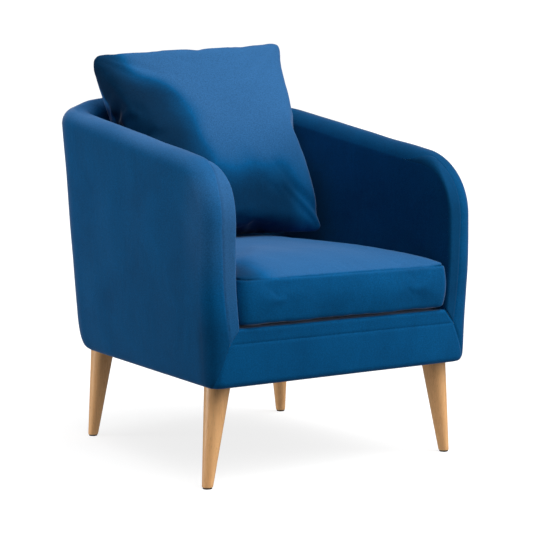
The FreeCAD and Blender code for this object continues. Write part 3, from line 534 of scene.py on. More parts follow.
def cut_velvet():
    """Polyester velvet, woven as a double cloth and cut into an upright pile. The tips catch light from
    the side, so edges and tops bloom, and where the pile was brushed another way the cloth turns darker
    or lighter in soft patches. Each piece also carries painted shade and painted highlight in its own
    attribute, which darken the base colour or move it towards a paler colour."""
    c = colours()
    material, tree, shader = new_material("cut_velvet")
    place = add_node(tree, "ShaderNodeTexCoord").outputs["Object"]
    brushed = add_node(tree, "ShaderNodeTexNoise", {
        "Vector": place, "Scale": 1 / 0.110, "Detail": 4.0, "Roughness": 0.60,
        "Distortion": 0.5})
    # Strokes of a hand or brush down the cloth, about 6 mm wide and 60 mm long.
    strokes = add_node(tree, "ShaderNodeTexNoise", {
        "Vector": add_node(tree, "ShaderNodeMapping", {
            "Vector": place, "Scale": (1 / 0.006, 1 / 0.006, 1 / 0.045)}).outputs[0],
        "Scale": 1.0, "Detail": 2.0})
    # Single tufts are a third of a millimetre wide; clumps of them are drawn 2.6 mm wide,
    # which is as fine as still shows.
    tufts = add_node(tree, "ShaderNodeTexNoise", {
        "Vector": place, "Scale": 1 / 0.0026, "Detail": 2.0, "Roughness": 0.7})
    patches = add_node(tree, "ShaderNodeMath", {
        0: strokes.outputs["Fac"], 1: 0.30, 2: brushed.outputs["Fac"]},
        operation="MULTIPLY_ADD")
    patch_share = add_node(tree, "ShaderNodeMapRange", {
        "Value": patches.outputs[0], "From Min": 0.42, "From Max": 0.88})
    pile = add_node(tree, "ShaderNodeMix", {
        "Factor": patch_share.outputs[0], 6: c.velvet_shade, 7: c.velvet}, data_type="RGBA")
    tuft_share = add_node(tree, "ShaderNodeMapRange", {
        "Value": tufts.outputs["Fac"], "From Min": 0.25, "From Max": 0.75,
        "To Min": 0.76, "To Max": 1.24})
    # Painted light and shade from the piece's own attribute: above 0 is painted shade that darkens the
    # pile, and below 0 is a painted highlight that moves it towards the paler tips colour.
    painted_amount = add_node(tree, "ShaderNodeAttribute", attribute_name=PAINTED_LIGHT_ATTRIBUTE)
    painted_shade = add_node(tree, "ShaderNodeMapRange", {
        "Value": painted_amount.outputs["Fac"], "From Min": 0.0, "From Max": 1.0, "To Min": 1.0,
        "To Max": 0.20})
    bright = add_node(tree, "ShaderNodeMapRange", {
        "Value": painted_amount.outputs["Fac"], "From Min": 0.0, "From Max": -1.0, "To Min": 0.0,
        "To Max": 1.0})
    # Painted highlight: the colour moves towards the tips colour where the attribute is below 0.
    pile = add_node(tree, "ShaderNodeMix", {
        "Factor": bright.outputs[0], 6: pile.outputs[2], 7: c.velvet_tips}, data_type="RGBA")
    # Tuft speckle times the painted shade.
    depth = add_node(tree, "ShaderNodeMath", {
        0: tuft_share.outputs[0], 1: painted_shade.outputs[0]}, operation="MULTIPLY")
    speckled = add_node(tree, "ShaderNodeVectorMath", {
        0: pile.outputs[2], "Scale": depth.outputs[0]}, operation="SCALE")
    relief = add_node(tree, "ShaderNodeBump", {
        "Height": tufts.outputs["Fac"], "Strength": 0.30, "Distance": 0.0006})
    lay = add_node(tree, "ShaderNodeBump", {
        "Height": brushed.outputs["Fac"], "Strength": 0.08, "Distance": 0.02,
        "Normal": relief.outputs[0]})
    tree.links.new(speckled.outputs[0], shader.inputs["Base Color"])
    tree.links.new(lay.outputs[0], shader.inputs["Normal"])
    shader.inputs["Roughness"].default_value = 0.75
    shader.inputs["Specular IOR Level"].default_value = 0.04
    shader.inputs["Sheen Weight"].default_value = 0.42
    shader.inputs["Sheen Roughness"].default_value = 0.27
    shader.inputs["Sheen Tint"].default_value = c.velvet_bloom
    return material


def lacquered_rubberwood():
    """Turned rubberwood under clear satin lacquer: pale straw brown, with short fine grain
    lines along the leg and a soft shine."""
    c = colours()
    material, tree, shader = new_material("lacquered_rubberwood")
    place = add_node(tree, "ShaderNodeTexCoord").outputs["Object"]
    along = add_node(tree, "ShaderNodeMapping", {
        "Vector": place, "Scale": (1 / 0.0028, 1 / 0.0028, 1 / 0.075)})
    grain = add_node(tree, "ShaderNodeTexNoise", {
        "Vector": along.outputs[0], "Scale": 1.0, "Detail": 4.0, "Roughness": 0.62,
        "Distortion": 0.25})
    broad = add_node(tree, "ShaderNodeTexNoise", {
        "Vector": add_node(tree, "ShaderNodeMapping", {
            "Vector": place, "Scale": (1 / 0.014, 1 / 0.014, 1 / 0.22)}).outputs[0],
        "Scale": 1.0, "Detail": 2.0})
    pores = add_node(tree, "ShaderNodeTexNoise", {
        "Vector": add_node(tree, "ShaderNodeMapping", {
            "Vector": place, "Scale": (1 / 0.0012, 1 / 0.0012, 1 / 0.012)}).outputs[0],
        "Scale": 1.0, "Detail": 1.0})
    lines = add_node(tree, "ShaderNodeMapRange", {
        "Value": grain.outputs["Fac"], "From Min": 0.38, "From Max": 0.68})
    both = add_node(tree, "ShaderNodeMath", {
        0: lines.outputs[0], 1: broad.outputs["Fac"]}, operation="MULTIPLY")
    tone = add_node(tree, "ShaderNodeMix", {
        "Factor": both.outputs[0], 6: c.leg_light, 7: c.leg_dark}, data_type="RGBA")
    specks = add_node(tree, "ShaderNodeMapRange", {
        "Value": pores.outputs["Fac"], "From Min": 0.62, "From Max": 0.72,
        "To Min": 1.0, "To Max": 0.80})
    colour_out = add_node(tree, "ShaderNodeVectorMath", {
        0: tone.outputs[2], "Scale": specks.outputs[0]}, operation="SCALE")
    relief = add_node(tree, "ShaderNodeBump", {
        "Height": grain.outputs["Fac"], "Strength": 0.10, "Distance": 0.0004})
    tree.links.new(colour_out.outputs[0], shader.inputs["Base Color"])
    tree.links.new(relief.outputs[0], shader.inputs["Normal"])
    shader.inputs["Roughness"].default_value = 0.42
    shader.inputs["Coat Weight"].default_value = 0.25
    shader.inputs["Coat Roughness"].default_value = 0.25
    return material


def speckled_material(name, light, dark, grain, roughness, metallic=0.0, stretch=(1, 1, 1),
                      relief=0.15):
    """The common build of the plainer finishes: two tones mixed by grain of a real size."""
    material, tree, shader = new_material(name)
    place = add_node(tree, "ShaderNodeTexCoord").outputs["Object"]
    sized = add_node(tree, "ShaderNodeMapping", {
        "Vector": place, "Scale": tuple(part / grain for part in stretch)})
    noise = add_node(tree, "ShaderNodeTexNoise", {
        "Vector": sized.outputs[0], "Scale": 1.0, "Detail": 3.0})
    share = add_node(tree, "ShaderNodeMapRange", {
        "Value": noise.outputs["Fac"], "From Min": 0.35, "From Max": 0.65})
    tone = add_node(tree, "ShaderNodeMix", {
        "Factor": share.outputs[0], 6: linear(light), 7: linear(dark)}, data_type="RGBA")
    bump = add_node(tree, "ShaderNodeBump", {
        "Height": noise.outputs["Fac"], "Strength": relief, "Distance": grain / 4})
    tree.links.new(tone.outputs[2], shader.inputs["Base Color"])
    tree.links.new(bump.outputs[0], shader.inputs["Normal"])
    shader.inputs["Roughness"].default_value = roughness
    shader.inputs["Metallic"].default_value = metallic
    return material


def sawn_beech():
    """Sawn beech rails: pale, matt, with short flecks along the length of the rail."""
    return speckled_material("sawn_beech", "#D8B58A", "#B98F62", 0.004, 0.7,
                             stretch=(0.12, 1, 1))


def birch_plywood():
    """Birch plywood: pale face veneer with a wide quiet grain, unfinished."""
    return speckled_material("birch_plywood", "#E0C9A2", "#C8A97C", 0.010, 0.65,
                             stretch=(1, 0.15, 1))


def hardboard():
    """Pressed fibreboard: brown, smooth and dull, with fibres of all directions."""
    return speckled_material("hardboard", "#8A6B4A", "#6E5338", 0.003, 0.8)


def upholstery_foam():
    """Cut polyurethane foam: open cells about a millimetre wide, cream and quite matt."""
    return speckled_material("upholstery_foam", "#EFE8CF", "#D9CFAF", 0.0014, 0.95,
                             relief=0.6)


def polyester_fibre():
    """Blown polyester fibre in a fleece: white, soft, with long loose strands."""
    return speckled_material("polyester_fibre", "#F5F4F0", "#DEDCD6", 0.006, 1.0,
                             stretch=(1, 1, 0.2))


def oiled_spring_steel():
    """Drawn spring wire with a dark oiled skin."""
    return speckled_material("oiled_spring_steel", "#4A4B4E", "#2E2F31", 0.002, 0.38,
                             metallic=1.0)


def zinc_plated_steel():
    """Zinc plated steel: light grey with a faint spangle."""
    return speckled_material("zinc_plated_steel", "#C9CBCC", "#A9ACAE", 0.003, 0.32,
                             metallic=1.0)


def nylon():
    """Moulded black nylon: an even satin surface with a fine texture."""
    return speckled_material("moulded_nylon", "#26231F", "#1B1917", 0.0010, 0.5)


def woven_material(name, light, dark, thread, roughness):
    """Plain woven cloth: two crossing sets of threads of a real width, over and under."""
    material, tree, shader = new_material(name)
    place = add_node(tree, "ShaderNodeTexCoord").outputs["Object"]
    sized = add_node(tree, "ShaderNodeMapping", {"Vector": place, "Scale": (1, 1, 1)})
    warp = add_node(tree, "ShaderNodeTexWave", {
        "Vector": sized.outputs[0], "Scale": 1 / (thread * 20), "Distortion": 0.6,
        "Detail": 1.0, "Detail Scale": 2.0}, bands_direction="X")
    weft = add_node(tree, "ShaderNodeTexWave", {
        "Vector": sized.outputs[0], "Scale": 1 / (thread * 20), "Distortion": 0.6,
        "Detail": 1.0, "Detail Scale": 2.0}, bands_direction="Y")
    crossing = add_node(tree, "ShaderNodeMath", {
        0: warp.outputs["Fac"], 1: weft.outputs["Fac"]}, operation="MULTIPLY")
    tone = add_node(tree, "ShaderNodeMix", {
        "Factor": crossing.outputs[0], 6: linear(dark), 7: linear(light)}, data_type="RGBA")
    bump = add_node(tree, "ShaderNodeBump", {
        "Height": crossing.outputs[0], "Strength": 0.4, "Distance": thread / 3})
    tree.links.new(tone.outputs[2], shader.inputs["Base Color"])
    tree.links.new(bump.outputs[0], shader.inputs["Normal"])
    shader.inputs["Roughness"].default_value = roughness
    return material


def cambric():
    """Black spun dust cloth under the seat, thin and dull."""
    return woven_material("black_cambric", "#2A2A2C", "#121213", 0.0014, 0.9)


def deck_twill():
    """Navy cotton twill over the deck, under the loose cushion."""
    return woven_material("navy_deck_cloth", "#14385C", "#0A2440", 0.0012, 0.85)


def zip_tape():
    """Woven polyester zip tape in the velvet's blue."""
    return woven_material("zip_tape", "#1C4F7E", "#123A60", 0.0008, 0.7)


def gunmetal():
    """Plated zinc casting of the zip's slider: dark, smooth and worn bright at its edges."""
    return speckled_material("gunmetal_plating", "#7C7E82", "#5B5D61", 0.002, 0.28,
                             metallic=1.0)


MATERIAL_MAKERS = {
    "velvet": cut_velvet, "leg_wood": lacquered_rubberwood, "glide_plastic": nylon,
    "plated_steel": zinc_plated_steel, "spring_steel": oiled_spring_steel,
    "frame_wood": sawn_beech, "frame_plywood": birch_plywood, "fibreboard": hardboard,
    "foam": upholstery_foam, "fibre_fill": polyester_fibre, "deck_cloth": deck_twill,
    "dust_cloth": cambric, "zip_tape": zip_tape, "zip_metal": gunmetal,
}
made_materials = {}


def finish_of(slot):
    """The material of one of the record's slots, made when it is first asked for."""
    if slot not in made_materials:
        made_materials[slot] = MATERIAL_MAKERS[slot]()
    return made_materials[slot]


def dress(piece, slot, body, *replaced):
    """Gives a finished piece its material, its body and the CAD nodes that it stands for."""
    piece.data.materials.clear()
    piece.data.materials.append(finish_of(slot))
    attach(piece, body)
    if replaced:
        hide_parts(*replaced)
    return piece


# ------------------------------------------------------------------ covers of the tub


class ARMCHAIR_OT_outside_cover(bpy.types.Operator):
    """Cover of the arms' and the back's outer faces, rolled over the top edge"""
    bl_idname = "armchair.outside_cover"
    bl_label = "Outside cover"

    def execute(self, context):
        rim = Rim(BOTTOM, 44, 30, 130)
        seam = seam_across(rim.along, rim.height, rim.frontness)
        strength = seam_strength(rim.along)
        across = seam[:, None] * np.linspace(0, 1, 31)[None, :]
        metres = 0.034
        raised = -groove((across - seam[:, None]) * metres) * strength[:, None]
        edge = edge_surface(rim, across, raised)
        panel = wall_panel(rim, BOTTOM, outer=True)
        sheets = Sheets()
        sheets.add(panel)
        sheets.add(edge, flip=True)
        sheets.add(underside(panel[0], 0.03), flip=True)
        sheets.add(underside(edge[0], 0.03))
        sheets.mirrored()
        piece = sheets.piece("outside_cover")
        paint_light_and_shade(piece, self.lay(points_of(piece), normals_of(piece)))
        dress(piece, "velvet", "chair_frame", "outside_cover_left", "outside_cover_right",
              "outside_cover_back", "front_corner_covers")
        return {"FINISHED"}

    def lay(self, points, normals):
        """Painted highlight on top of the left arm and down its rounded front edge, and painted shade
        low on the sides, at the front corner and on the right arm, where less light falls."""
        rolled = ease(normals[:, 2], 0.15, 0.85)
        left = 1 - ease(points[:, 0], -0.10, 0.10)
        top = rolled * left
        front = ease(FRONT + 0.110 - points[:, 1], 0.0, 0.075) * left
        front *= ease(points[:, 2], 0.33, 0.50) * ease(0.35 - normals[:, 1], 0.0, 0.6)
        # Painted shade: at the left front corner low down, darker towards the bottom of the sides, and
        # on top of the right arm.
        corner = ease(FRONT + 0.060 - points[:, 1], 0.0, 0.030) * ease(0.36 - points[:, 2], 0, 0.06)
        dark = 0.10 * ease(0.56 - points[:, 2], 0.0, 0.20) + 0.35 * rolled * (1 - left)
        cloud = 0.20 * unevenness(points, 0.15, seed=5) * (top + front)
        # Painted highlight on top of the left arm and down its front edge, varied at random by cloud.
        tips = np.clip(np.maximum(top * 0.75, front * 0.60) + cloud, 0, 1)
        return dark * (1 - top) + 0.32 * corner * left - tips


PADDING_SUNK = 0.0035   # the padding lies this far under the covers
BOARD_SUNK = 0.0015     # outer faces of the boards under the outside cover


class ARMCHAIR_OT_padding(bpy.types.Operator):
    """Foam of the walls and of the front rail, and the boards outside it, under the covers"""
    bl_idname = "armchair.padding"
    bl_label = "Padding and boards"

    def execute(self, context):
        rim = Rim(BOTTOM + 0.004, 44, 30, 130)
        across = np.linspace(0, 5, 61)[None, :] + 0 * rim.along[:, None]
        sheets = Sheets()
        sheets.add(wall_panel(rim, BOTTOM + 0.004, True, PADDING_SUNK))
        sheets.add(edge_surface(rim, across, 0 * across - PADDING_SUNK), flip=True)
        sheets.add(wall_panel(rim, BOTTOM + 0.004, False, PADDING_SUNK), flip=True)
        outer = wall_panel(rim, BOTTOM + 0.004, True, PADDING_SUNK)[0]
        inner = wall_panel(rim, BOTTOM + 0.004, False, PADDING_SUNK)[0]
        end = edge_surface(rim, across, 0 * across - PADDING_SUNK)[0]
        sheets.add(np.stack([outer, inner]), flip=True)
        sheets.add(np.stack([end[:31], end[:29:-1]]))
        sheets.mirrored()
        piece = sheets.piece("wall_foam")
        dress(piece, "foam", "chair_frame", "arm_padding_left", "arm_padding_right",
              "back_padding")
        sheets = Sheets()
        outer = wall_panel(rim, BOTTOM + 0.004, True, BOARD_SUNK)
        inner = wall_panel(rim, BOTTOM + 0.004, True, BOARD_SUNK + 0.0015)
        sheets.add(outer)
        sheets.add(inner, flip=True)
        sheets.add(np.stack([outer[0], inner[0]]), flip=True)
        sheets.add(np.stack([outer[-1], inner[-1]]))
        sheets.add(np.stack([outer[:, 0], inner[:, 0]]))
        sheets.mirrored()
        dress(sheets.piece("outside_boards"), "fibreboard", "chair_frame",
              "outside_board_left", "outside_board_right", "outside_board_back")
        sheets = Sheets()
        border = border_surface(PADDING_SUNK)
        height, drop, _ = band_profile(np.linspace(0, 1, 17))
        band = np.broadcast_to(border[-1], (17, *border[-1].shape)).copy()
        band[:, :, 2] = height[:, None] - PADDING_SUNK
        band[:, :, 1] = FRONT + drop[:, None] + PADDING_SUNK
        back_row = band[-1] + np.array([0.0, 0.04, -0.001])
        sheets.add(border)
        sheets.add(band)
        sheets.add(np.stack([band[-1], back_row]))
        piece = sheets.piece("rail_foam")
        dress(piece, "foam", "chair_frame", "front_rail_padding")
        return {"FINISHED"}


class ARMCHAIR_OT_inside_cover(bpy.types.Operator):
    """Cover of the arms' and the back's inner faces, down to the deck"""
    bl_idname = "armchair.inside_cover"
    bl_label = "Inside cover"

    def execute(self, context):
        low = RAIL_TOP - 0.004
        rim = Rim(low, 30, 30, 130)
        start = INNER_SEAM
        across = start + (5 - start) * np.linspace(0, 1, 15)[None, :]
        across = across + 0 * rim.along[:, None]
        edge = edge_surface(rim, across, 0 * across)
        sheets = Sheets()
        sheets.add(wall_panel(rim, low, outer=False), flip=True)
        sheets.add(edge, flip=True)
        sheets.mirrored()
        piece = sheets.piece("inside_cover")
        points = points_of(piece)
        # Painted shade low on the inside of the right arm, where the chair shades it.
        low = 0.35 * ease(0.66 - points[:, 2], 0.0, 0.14) * ease(points[:, 0], 0.0, 0.1)
        paint_light_and_shade(piece, low)
        dress(piece, "velvet", "chair_frame", "inside_cover_left", "inside_cover_right",
              "inside_cover_back")
        return {"FINISHED"}


def band_profile(share):
    """Across the band of the front rail, from its lower seam to the top of the rail: height
    and drop back from the front face. It is the arm band's own profile, laid on its side,
    so the two meet in a mitre."""
    s = sizes()
    outer_depth = smooth_curve(BAND_SEAM, OUTLINE_HEIGHTS, FRONT_HALF) - 0.280
    start = across_at_depth(np.array(outer_depth), np.array(1.0))
    across = start + (INNER_SEAM - start) * share
    depth, drop, _, _ = section(across, np.ones_like(across))
    scale = (RAIL_TOP - BAND_SEAM) / (s.wall - outer_depth)
    return RAIL_TOP - (s.wall - depth) * scale, drop, depth


class ARMCHAIR_OT_facing_bands(bpy.types.Operator):
    """Bands up the arm fronts and across the front rail, mitred at the corners"""
    bl_idname = "armchair.facing_bands"
    bl_label = "Facing bands"

    def execute(self, context):
        self.arm_bands()
        self.rail_band()
        return {"FINISHED"}

    def arm_bands(self):
        rim = Rim(BAND_SEAM, 44, 30, 130)
        last = int(np.argmax(rim.along >= BAND_TIP)) + 1
        for name in ("along", "height", "in_along", "in_height", "frontness"):
            setattr(rim, name, getattr(rim, name)[:last])
        share = np.linspace(0, 1, 33)[None, :]
        mitre, _, _ = band_profile(share)
        up = (rim.height - BAND_SEAM) / (NOSE_HEIGHT - BAND_SEAM)
        on_front = (np.arange(last) <= rim.corner)[:, None]
        height = np.where(on_front, mitre + (NOSE_HEIGHT - mitre) * up[:, None],
                          rim.height[:, None])
        seam = seam_across(rim.along[:, None], height[:, :1], rim.frontness[:, None])
        across = seam + (INNER_SEAM - seam) * share
        metres = 0.030
        strength = seam_strength(rim.along)[:, None]
        dip = groove((across - seam) * metres) * strength
        dip = np.maximum(dip, groove(height - mitre) * on_front)
        puff = 0.0016 * np.sin(np.pi * share) ** 2 * strength
        grid = edge_surface(rim, across, puff - dip, height)
        for side, flip in ((1, True), (-1, False)):
            sheets = Sheets()
            sheets.add(grid * np.array([side, 1, 1]), flip=flip)
            name = "facing_band_right" if side > 0 else "facing_band_left"
            piece = sheets.piece("velvet_" + name)
            # Painted highlight on the left band, weaker low down, and painted shade on the right band.
            tips = 0.30 + 0.65 * ease(points_of(piece)[:, 2], 0.28, 0.46)
            paint_light_and_shade(piece, 0 * tips + 0.42 if side > 0 else -tips)
            dress(piece, "velvet", "chair_frame", name)

    def rail_band(self):
        share = np.linspace(0, 1, 33)
        height, drop, depth = band_profile(share)
        half = smooth_curve(height, OUTLINE_HEIGHTS, FRONT_HALF) - depth
        across = across_at_depth(depth, np.ones_like(depth))
        _, _, out_depth, out_drop = section(across, np.ones_like(depth))
        x = half[:, None] * np.linspace(-1, 1, 241)[None, :]
        dip = 0.6 * groove(height[:, None] - BAND_SEAM)
        mitre_gap = (half[:, None] - np.abs(x)) * 0.76
        dip = np.maximum(dip, groove(mitre_gap))
        base = np.stack([x, FRONT + drop[:, None] + 0 * x, height[:, None] + 0 * x], axis=-1)
        raised = skin_waves(base) - dip
        end = ease(mitre_gap, 0.010, 0.0)
        base[:, :, 0] -= np.sign(x) * out_depth[:, None] * raised * end
        base[:, :, 1] += out_drop[:, None] * raised
        back_row = base[-1].copy()
        back_row[:, 1] = FRONT + 0.05
        back_row[:, 2] = RAIL_TOP - 0.0006
        piece = Sheets()
        piece.add(base)
        piece.add(np.stack([base[-1], back_row]))
        piece = piece.piece("velvet_facing_band_rail")
        paint_light_and_shade(piece, front_painted_shade(points_of(piece)))
        dress(piece, "velvet", "chair_frame", "facing_band_rail")


def front_painted_shade(points):
    """Painted shade across the front: darker on the left, where less light falls, and about none on the
    right.
    """
    return 0.15 - 0.16 * ease(points[:, 0], -0.20, 0.25)


def border_surface(sunk):
    """The border under the rail's band: rows of points between the two lower seams, level
    with the arm fronts' own roll at the ends, rounded in at the bottom, and sunk below the
    cover's face."""
    rows = np.linspace(0, 1, 45)[:, None]
    height = BOTTOM + (BAND_SEAM - BOTTOM) * rows
    half = band_seam_x(height - 1e-9)
    x = half * np.linspace(-1, 1, 241)[None, :]
    height = height + 0 * x
    outer_half = smooth_curve(height, OUTLINE_HEIGHTS, FRONT_HALF)
    depth = np.minimum(outer_half - np.abs(x), 0.04)
    _, drop, out_depth, out_drop = section(across_at_depth(depth, np.ones_like(depth)),
                                           np.ones_like(depth))
    dip = np.maximum(0.6 * groove(BAND_SEAM - height), groove((half - np.abs(x)) * 0.93))
    puff = 0.0012 * np.sin(np.pi * rows) * ease(half - np.abs(x), 0.0, 0.03)
    base = np.stack([x, FRONT + drop, height], axis=-1)
    raised = puff - dip - tuck(height) + skin_waves(base) - sunk
    base[:, :, 0] -= np.sign(x) * out_depth * raised
    base[:, :, 1] += out_drop * raised
    return base


class ARMCHAIR_OT_front_border(bpy.types.Operator):
    """Border under the band of the front rail, down to the lower edge of the body"""
    bl_idname = "armchair.front_border"
    bl_label = "Front border"

    def execute(self, context):
        front = border_surface(0.0)
        piece = Sheets()
        piece.add(front)
        piece.add(underside(front[0], 0.03), flip=True)
        piece = piece.piece("velvet_front_border")
        paint_light_and_shade(piece, front_painted_shade(points_of(piece)))
        dress(piece, "velvet", "chair_frame", "front_border")
        return {"FINISHED"}


# ------------------------------------------------------------------ cloths of the base


def plan_sheet(depth, height, rows, columns, start):
    """A level sheet inside the tub: each row runs from the left wall to the right wall at
    one distance along the wall."""
    along = start + (MIDDLE - start) * np.linspace(0, 1, rows) ** 1.15
    right = tub_point(along, np.full(rows, height), np.full(rows, depth))
    across = np.sin(np.linspace(-1, 1, columns) * math.pi / 2)[None, :]
    x = right[:, 0, None] * across
    y = right[:, 1, None] + 0 * x
    return np.stack([x, y, height + 0 * x], axis=-1)


DECK_TUCK = 0.002        # how far the deck cloth's edge runs in behind the inside cover


class ARMCHAIR_OT_base_cloths(bpy.types.Operator):
    """Deck cloth under the seat cushion and dust cloth under the body"""
    bl_idname = "armchair.base_cloths"
    bl_label = "Deck and dust cloths"

    def execute(self, context):
        deck = plan_sheet(sizes().wall - DECK_TUCK, DECK_PAD_TOP, 120, 81, 0.045)
        waves = unevenness(deck.reshape(-1, 3), 0.13, seed=11).reshape(deck.shape[:2])
        deck[:, :, 2] += 0.0010 + 0.0004 * waves
        sheets = Sheets()
        sheets.add(deck)
        piece = sheets.piece("deck_cloth")
        dress(piece, "deck_cloth", "chair_frame", "deck_cover")

        dust = plan_sheet(0.026, BOTTOM + 0.001, 120, 81, 0.026)
        waves = unevenness(dust.reshape(-1, 3), 0.11, seed=12).reshape(dust.shape[:2])
        middle = (1 - (dust[:, :, 0] / 0.30) ** 2) * (1 - (dust[:, :, 1] / 0.34) ** 2)
        dust[:, :, 2] += 0.0015 - 0.0010 * np.clip(middle, 0, 1) - 0.0007 * waves
        sheets = Sheets()
        sheets.add(dust, flip=True)
        piece = sheets.piece("dust_cloth")
        dress(piece, "dust_cloth", "chair_frame", "dust_cover")
        return {"FINISHED"}


# ------------------------------------------------------------------ legs


LEG_FEET = {"leg_front_left": (-0.3009, -0.3028), "leg_front_right": (0.3009, -0.3028),
            "leg_rear_left": (-0.2577, 0.2635), "leg_rear_right": (0.2577, 0.2635)}
LEG_TOPS = {"leg_front_left": (-0.2732, -0.2968), "leg_front_right": (0.2732, -0.2968),
            "leg_rear_left": (-0.2389, 0.2472), "leg_rear_right": (0.2389, 0.2472)}
FOOT_RADIUS = 0.0111
LEG_RADIUS = 0.0263
LEG_EDGE = 0.0018       # rounding of the leg's two ends


class ARMCHAIR_OT_legs(bpy.types.Operator):
    """Four turned, splayed legs with softened ends"""
    bl_idname = "armchair.legs"
    bl_label = "Legs"

    def execute(self, context):
        """Rings of points: the middle slides on a straight line from foot to top, and the
        radius grows evenly, with a quarter circle where the side meets each end."""
        turn = np.linspace(0, math.pi / 2, 7)
        for name, foot in LEG_FEET.items():
            low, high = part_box(name)
            height = high.z - low.z
            rounding = LEG_EDGE * (1 - np.sin(turn))
            level = np.concatenate([
                [0.0], LEG_EDGE * (1 - np.cos(turn)), np.linspace(LEG_EDGE, height - LEG_EDGE, 40)[1:-1],
                height - LEG_EDGE * (1 - np.cos(turn[::-1])), [height]])
            share = level / height
            trim = np.concatenate([[0], rounding, np.zeros(38), rounding[::-1], [0]])
            radius = FOOT_RADIUS + (LEG_RADIUS - FOOT_RADIUS) * share - trim
            radius[[0, -1]] = 0.0
            foot, top = np.array(foot), np.array(LEG_TOPS[name])
            centre = foot + (top - foot) * share[:, None]
            angle = np.linspace(0, 2 * math.pi, 65)[None, :]
            grid = np.stack([centre[:, 0, None] + radius[:, None] * np.cos(angle),
                             centre[:, 1, None] + radius[:, None] * np.sin(angle),
                             low.z + level[:, None] + 0 * angle], axis=-1)
            sheets = Sheets()
            sheets.add(grid)
            piece = sheets.piece("turned_" + name, merge=0.00005)
            dress(piece, "leg_wood", "chair_frame", name)
        return {"FINISHED"}


# ------------------------------------------------------------------ cushions


def remesh(piece, size):
    """Evens out the mesh to one voxel size."""
    modifier = piece.modifiers.new("Remesh", "REMESH")
    modifier.mode = "VOXEL"
    modifier.voxel_size = size
    apply_modifiers(piece)


def fill(piece, pressure, frames, cap, stiffness, bending):
    """Fills a cover: cloth that pressure pushes outwards from the inside, with no gravity.
    No point moves further than cap."""
    start = points_of(piece)
    modifier = piece.modifiers.new("Cloth", "CLOTH")
    cloth = modifier.settings
    cloth.quality = 6
    cloth.mass = 0.3
    cloth.tension_stiffness = cloth.compression_stiffness = stiffness
    cloth.shear_stiffness = stiffness / 3
    cloth.bending_stiffness = bending
    cloth.use_pressure = True
    cloth.uniform_pressure_force = pressure
    cloth.effector_weights.gravity = 0
    modifier.point_cache.frame_end = frames
    scene = bpy.context.scene
    for frame_number in range(1, frames + 1):
        scene.frame_set(frame_number)
    apply_modifiers(piece)
    scene.frame_set(1)
    moved = points_of(piece) - start
    far = np.linalg.norm(moved, axis=1)
    moved *= np.minimum(1, cap / np.maximum(far, 1e-9))[:, None]
    move_points(piece, start + moved)


def fit_box(piece, low, high):
    """Stretches a piece along each axis so that it spans from low to high."""
    points = points_of(piece)
    now_low, now_high = points.min(axis=0), points.max(axis=0)
    share = (points - now_low) / (now_high - now_low)
    move_points(piece, low + share * (high - low))


def plan_gap(points, plan):
    """How far each point lies from a closed outline seen from above, along the line to the
    outline's middle, and the outline's number there: both are read off by direction."""
    middle = np.array([0.0, -0.05])
    ray = plan - middle
    direction = np.arctan2(ray[:, 1], ray[:, 0])
    order = np.argsort(direction)
    turn = np.arctan2(points[:, 1] - middle[1], points[:, 0] - middle[0])
    far = np.interp(turn, direction[order], np.hypot(*ray.T)[order], period=2 * math.pi)
    numbers = np.unwrap(order * (2 * math.pi / len(plan))) * len(plan) / (2 * math.pi)
    place = np.interp(turn, direction[order], numbers, period=2 * math.pi)
    return np.abs(far - np.hypot(*(points[:, :2] - middle).T)), place


def rounded_plan(front, rear, front_y, rear_y, front_radius, rear_radius, count):
    """Closed outline seen from above: a front edge, two rounded front corners, two straight
    sides and a rear edge with two larger corners, with evenly spaced points."""
    corners = ((front, front_y, front_radius, -90), (rear, rear_y, rear_radius, 0),
               (-rear, rear_y, rear_radius, 90), (-front, front_y, front_radius, 180))
    pieces = []
    for x, y, radius, start in corners:
        angle = np.radians(start + np.linspace(0, 90, 24))
        centre = (x - math.copysign(radius, x), y - math.copysign(radius, y))
        pieces.append(np.stack([centre[0] + radius * np.cos(angle),
                                centre[1] + radius * np.sin(angle)], axis=1))
    line = np.concatenate(pieces + [pieces[0][:1]])
    steps = np.concatenate([[0], np.cumsum(np.linalg.norm(np.diff(line, axis=0), axis=1))])
    even = np.linspace(0, steps[-1], count + 1)[:-1]
    return np.stack([np.interp(even, steps, line[:, axis]) for axis in (0, 1)], axis=1)


CUSHION_BOTTOM_SEAM = 0.3215
CUSHION_TOP_SEAM = 0.4150
# Half width in front and behind, front and rear edge, radius of the corners in front and
# behind, at the seams of the seat cushion.
CUSHION_PLAN = (0.259, 0.229, -0.3625, 0.246, 0.024, 0.090)


